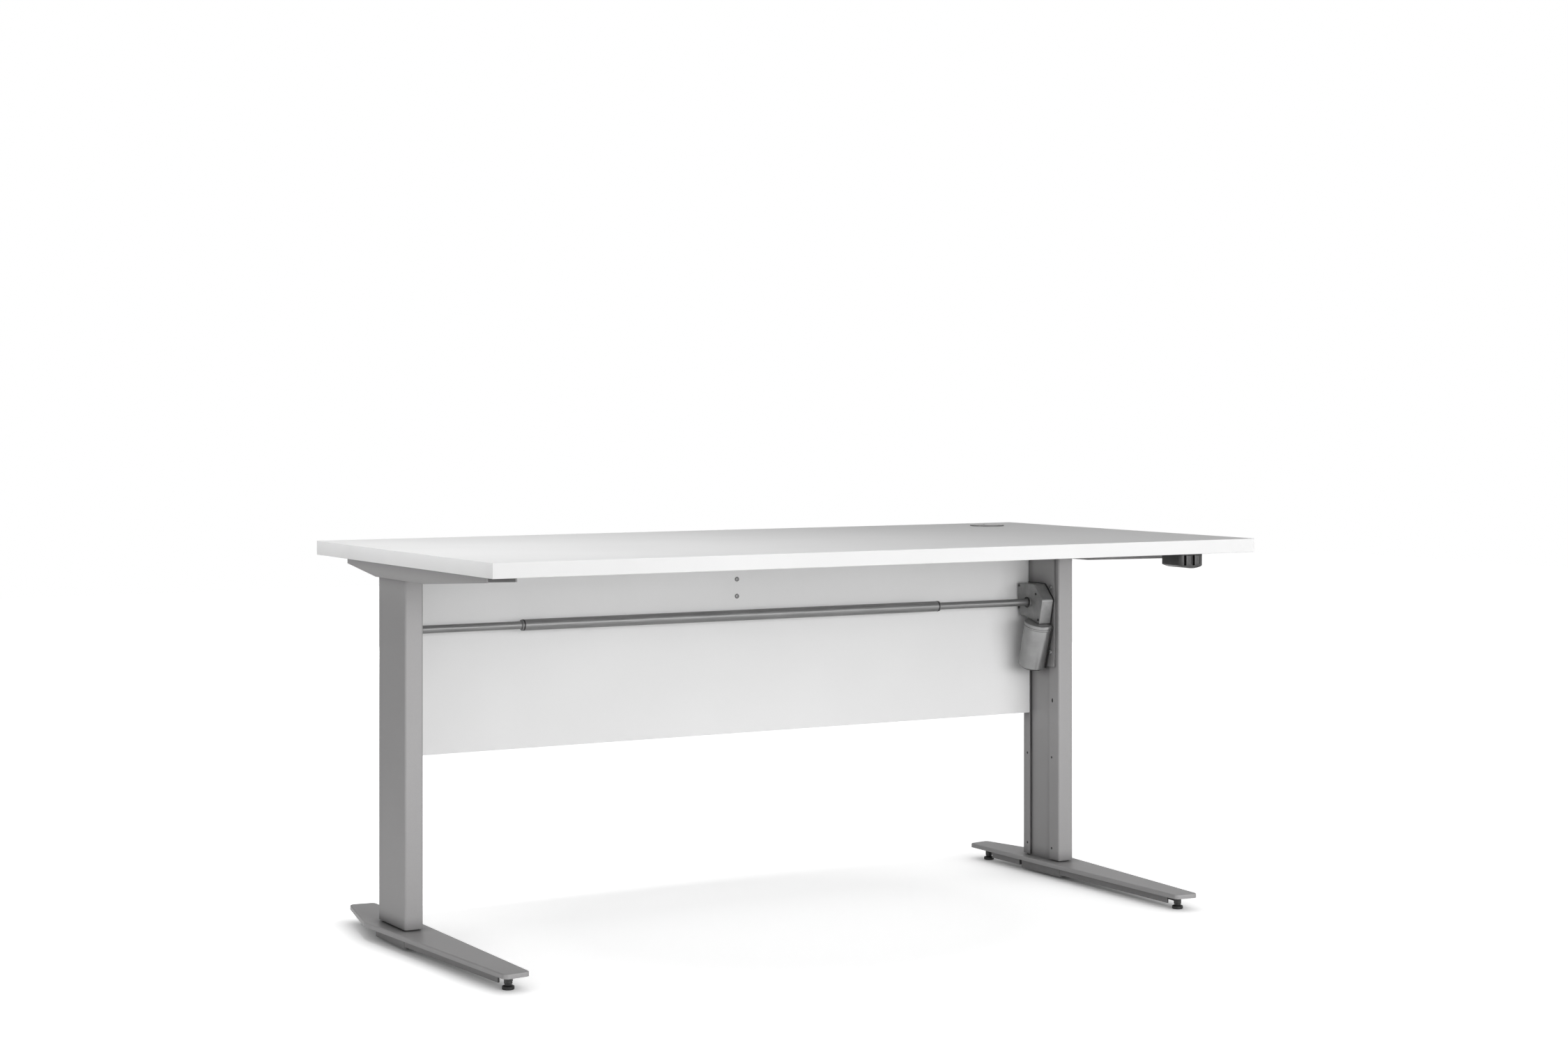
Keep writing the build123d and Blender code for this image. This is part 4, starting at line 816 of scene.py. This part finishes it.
def make_key(node, body, name, turn):
    """A key with a rounded front, a dished face and a raised arrow."""
    low, high = key_box(node)
    low += Vector((KEY_GAP, KEY_SETBACK, 0))
    key = add_block(low, high)
    select_edges(key, lambda first, second: max(first.y, second.y) < low.y + MERGE_GAP)
    bpy.ops.mesh.bevel(offset=KEY_ROUND, segments=3)
    select_faces(key, lambda middle, normal: normal.y < -FACING)
    bpy.ops.mesh.inset(thickness=KEY_RIM, depth=0)
    bpy.ops.mesh.inset(thickness=KEY_DISH, depth=-KEY_DISH)
    fitted(key, name, finishes["button_grey"], "button_grey", body, node)
    start_clean()
    face = low.y + KEY_DISH
    bpy.ops.mesh.primitive_cylinder_add(vertices=3, radius=ARROW_RADIUS, depth=2 * ARROW_HEIGHT,
                                        location=((low.x + high.x) / 2, face, (low.z + high.z) / 2),
                                        rotation=(math.radians(90), math.radians(turn), 0))
    arrow = bpy.context.object
    settle(arrow)
    select_edges(arrow, lambda first, second: max(first.y, second.y) < face)
    bpy.ops.mesh.bevel(offset=ARROW_HEIGHT / 2, segments=2)
    fitted(arrow, name + "_arrow", finishes["button_grey"], "button_grey", body)


def make_switch():
    make_switch_shell()
    make_key("down_button", "down_key", "down_rocker", turn=180)
    make_key("up_button", "up_key", "up_rocker", turn=0)


# Cable grommet
def make_grommet():
    low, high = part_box("grommet_liner")
    place = ((low.x + high.x) / 2, (low.y + high.y) / 2, 0)
    ring = turned("ring", GROMMET_RING_STEPS)
    bored(ring, GROMMET_BORE, low.z - OVERSHOOT, high.z + OVERSHOOT)
    settle(ring, place)
    fitted(ring, "grommet_ring", finishes["pale_plastic"], "grey_plastic", "lift_frame", "grommet_liner")
    # Painted shade: a dark grey sleeve round the flange's side, where it is in shade
    shadow_ring = turned("shadow_ring", GROMMET_SHADOW_RING_STEPS)
    bored(shadow_ring, GROMMET_RING_STEPS[2][1], low.z, high.z + OVERSHOOT)
    settle(shadow_ring, place)
    fitted(shadow_ring, "grommet_shadow_ring", finishes["grey_plastic"], "grey_plastic", "lift_frame")
    lid = turned("lid", GROMMET_CAP_STEPS)
    start_clean()
    bpy.ops.mesh.primitive_cube_add(size=2, location=(0, CABLE_SLOT_END + SLOT_CUTTER_HALF, high.z),
                                    scale=(CABLE_SLOT_HALF, SLOT_CUTTER_HALF, SLOT_CUTTER_HALF))
    cut(lid, bpy.context.object)
    start_clean()
    bpy.ops.mesh.primitive_cylinder_add(vertices=TURNED_SIDES, radius=CABLE_SLOT_HALF,
                                        depth=2 * SLOT_CUTTER_HALF, location=(0, CABLE_SLOT_END, high.z))
    cut(lid, bpy.context.object)
    settle(lid, place)
    fitted(lid, "grommet_lid_disc", finishes["pale_plastic"], "grey_plastic", "grommet_lid",
           "grommet_cap")


# Black dish in a hole of the right column's front lip: painted shade for the hole's dark inside
def make_lip_hole_shades():
    hole_shade = turned("hole_shade", LIP_HOLE_SHADE_STEPS, SCREW_SIDES)
    hole_shade.scale = (LIP_HOLE_SHADE_STRETCH, 1, 1)
    settle(hole_shade)
    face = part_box("right_outer_column")[0].x
    right = copied(hole_shade, [(face, y, z) for y, z in LIP_HOLE_SHADES], AGAINST_X)
    fitted(right, "right_lip_hole_shades", finishes["black_plastic"], "black_plastic", "lift_frame")


make_levelling_feet()
make_motor()
make_gearbox()
make_gasket_and_shadow_strip()
make_shaft_seal()
make_screws()
make_drive_tube()
make_switch()
make_grommet()
make_lip_hole_shades()


# Floor, sky, lamps and camera
def shown_ray(tree):
    """1 for what the camera sees straight, mirrored or through glass, and 0 for light on things."""
    path = tree.nodes.new("ShaderNodeLightPath")
    shown = path.outputs["Is Camera Ray"]
    for other in ("Is Glossy Ray", "Is Transmission Ray"):
        either = tree.nodes.new("ShaderNodeMath")
        either.operation = "MAXIMUM"
        tree.links.new(shown, either.inputs[0])
        link(tree, path, other, either, 1)
        shown = either.outputs["Value"]
    return either


def make_floor():
    """A pale floor that keeps the desk's shadow, fades to white around it, and is clear from below. Its
    glow is dimmed near the desk: a painted contact shadow.
    """
    start_clean()
    bpy.ops.mesh.primitive_plane_add(size=2 * FLOOR_HALF)
    floor = bpy.context.object
    floor.name = "studio_floor"
    finish = bpy.data.materials.new("studio_white")
    finish.use_nodes = True
    tree = finish.node_tree
    tree.nodes.clear()
    place = tree.nodes.new("ShaderNodeTexCoord")
    distance = tree.nodes.new("ShaderNodeVectorMath")
    distance.operation = "LENGTH"
    link(tree, place, "Object", distance, 0)
    glow = new_node(tree, "ShaderNodeMapRange", From_Min=FLOOR_NEAR, From_Max=FLOOR_FAR,
                    To_Min=FLOOR_NEAR_GLOW, To_Max=FLOOR_FAR_GLOW)
    link(tree, distance, "Value", glow, "Value")
    # Painted contact shadow: the floor's glow is dimmed where the desk's feet and other surfaces are near
    painted_shade = new_node(tree, "ShaderNodeAmbientOcclusion", Distance=FLOOR_SHADOW_REACH)
    shaded = tree.nodes.new("ShaderNodeMath")
    shaded.operation = "MULTIPLY"
    link(tree, glow, "Result", shaded, 0)
    link(tree, painted_shade, "AO", shaded, 1)
    strength = tree.nodes.new("ShaderNodeMath")
    strength.operation = "MULTIPLY"
    link(tree, shaded, "Value", strength, 0)
    link(tree, shown_ray(tree), "Value", strength, 1)
    light = new_node(tree, "ShaderNodeEmission", Color=WHITE)
    link(tree, strength, "Value", light, "Strength")
    paint = new_node(tree, "ShaderNodeBsdfDiffuse", Color=FLOOR_COLOUR)
    both = tree.nodes.new("ShaderNodeAddShader")
    link(tree, paint, "BSDF", both, 0)
    link(tree, light, "Emission", both, 1)
    side = tree.nodes.new("ShaderNodeNewGeometry")
    clear = tree.nodes.new("ShaderNodeBsdfTransparent")
    one_way = tree.nodes.new("ShaderNodeMixShader")
    link(tree, side, "Backfacing", one_way, "Fac")
    link(tree, both, "Shader", one_way, 1)
    link(tree, clear, "BSDF", one_way, 2)
    out = tree.nodes.new("ShaderNodeOutputMaterial")
    link(tree, one_way, "Shader", out, "Surface")
    floor.data.materials.append(finish)


def make_sky():
    world = bpy.data.worlds.new("studio_sky")
    bpy.context.scene.world = world
    world.use_nodes = True
    tree = world.node_tree
    sky = tree.nodes["Background"]
    sky.inputs["Color"].default_value = WHITE
    span = new_node(tree, "ShaderNodeMapRange", To_Min=SKY_STRENGTH, To_Max=1.0)
    link(tree, shown_ray(tree), "Value", span, "Value")
    link(tree, span, "Result", sky, "Strength")


def add_lamp(name, place, aim, width, height, power, spread=180, mirrored=True):
    """A rectangular soft box, facing a point. Its beam can be narrow, and it can show no mirror image."""
    lamp = bpy.data.lights.new(name, "AREA")
    lamp.shape = "RECTANGLE"
    lamp.size = width
    lamp.size_y = height
    lamp.energy = power
    lamp.spread = math.radians(spread)
    holder = bpy.data.objects.new(name, lamp)
    holder.location = place
    holder.rotation_euler = (Vector(aim) - Vector(place)).to_track_quat("-Z", "Y").to_euler()
    holder.visible_camera = False
    holder.visible_glossy = mirrored
    bpy.context.scene.collection.objects.link(holder)


def make_camera():
    lens = bpy.data.cameras.new("camera")
    lens.sensor_width = SENSOR_WIDTH
    lens.lens = FOCAL_PIXELS / IMAGE_WIDTH * SENSOR_WIDTH
    lens.shift_x = (IMAGE_WIDTH / 2 - PRINCIPAL_X) / IMAGE_WIDTH
    lens.shift_y = (HORIZON_Y - IMAGE_HEIGHT / 2) / IMAGE_WIDTH
    holder = bpy.data.objects.new("camera", lens)
    holder.location = CAMERA_PLACE
    holder.rotation_euler = (math.radians(90), 0, -math.radians(CAMERA_YAW))
    bpy.context.scene.collection.objects.link(holder)
    bpy.context.scene.camera = holder


make_floor()
make_sky()
add_lamp("front_box", place=(0.2, -4.0, 2.0), aim=(0.0, 0.0, 0.5), width=4.0, height=2.2, power=59)
add_lamp("low_box", place=(1.0, -3.9, 0.85), aim=(0.0, 0.0, 0.4), width=4.6, height=1.2, power=71)
add_lamp("left_box", place=(-8.0, -2.4, 1.8), aim=(0.0, 0.0, 0.4), width=5.0, height=1.6, power=81)
add_lamp("back_box", place=(2.6, 5.0, 0.7), aim=(0.0, 0.0, 0.4), width=5.0, height=1.0, power=80,
         mirrored=False)
add_lamp("edge_box", place=(-1.7, 0.0, 0.75), aim=(-0.8, 0.0, 0.80), width=1.0, height=0.1, power=0.60,
         spread=24)
add_lamp("top_box", place=(-0.80, 0.1, 5.0), aim=(-0.80, 0.0, 0.69), width=0.6, height=0.6, power=4.3,
         spread=36)
make_camera()
bpy.context.scene.view_settings.view_transform = "Standard"
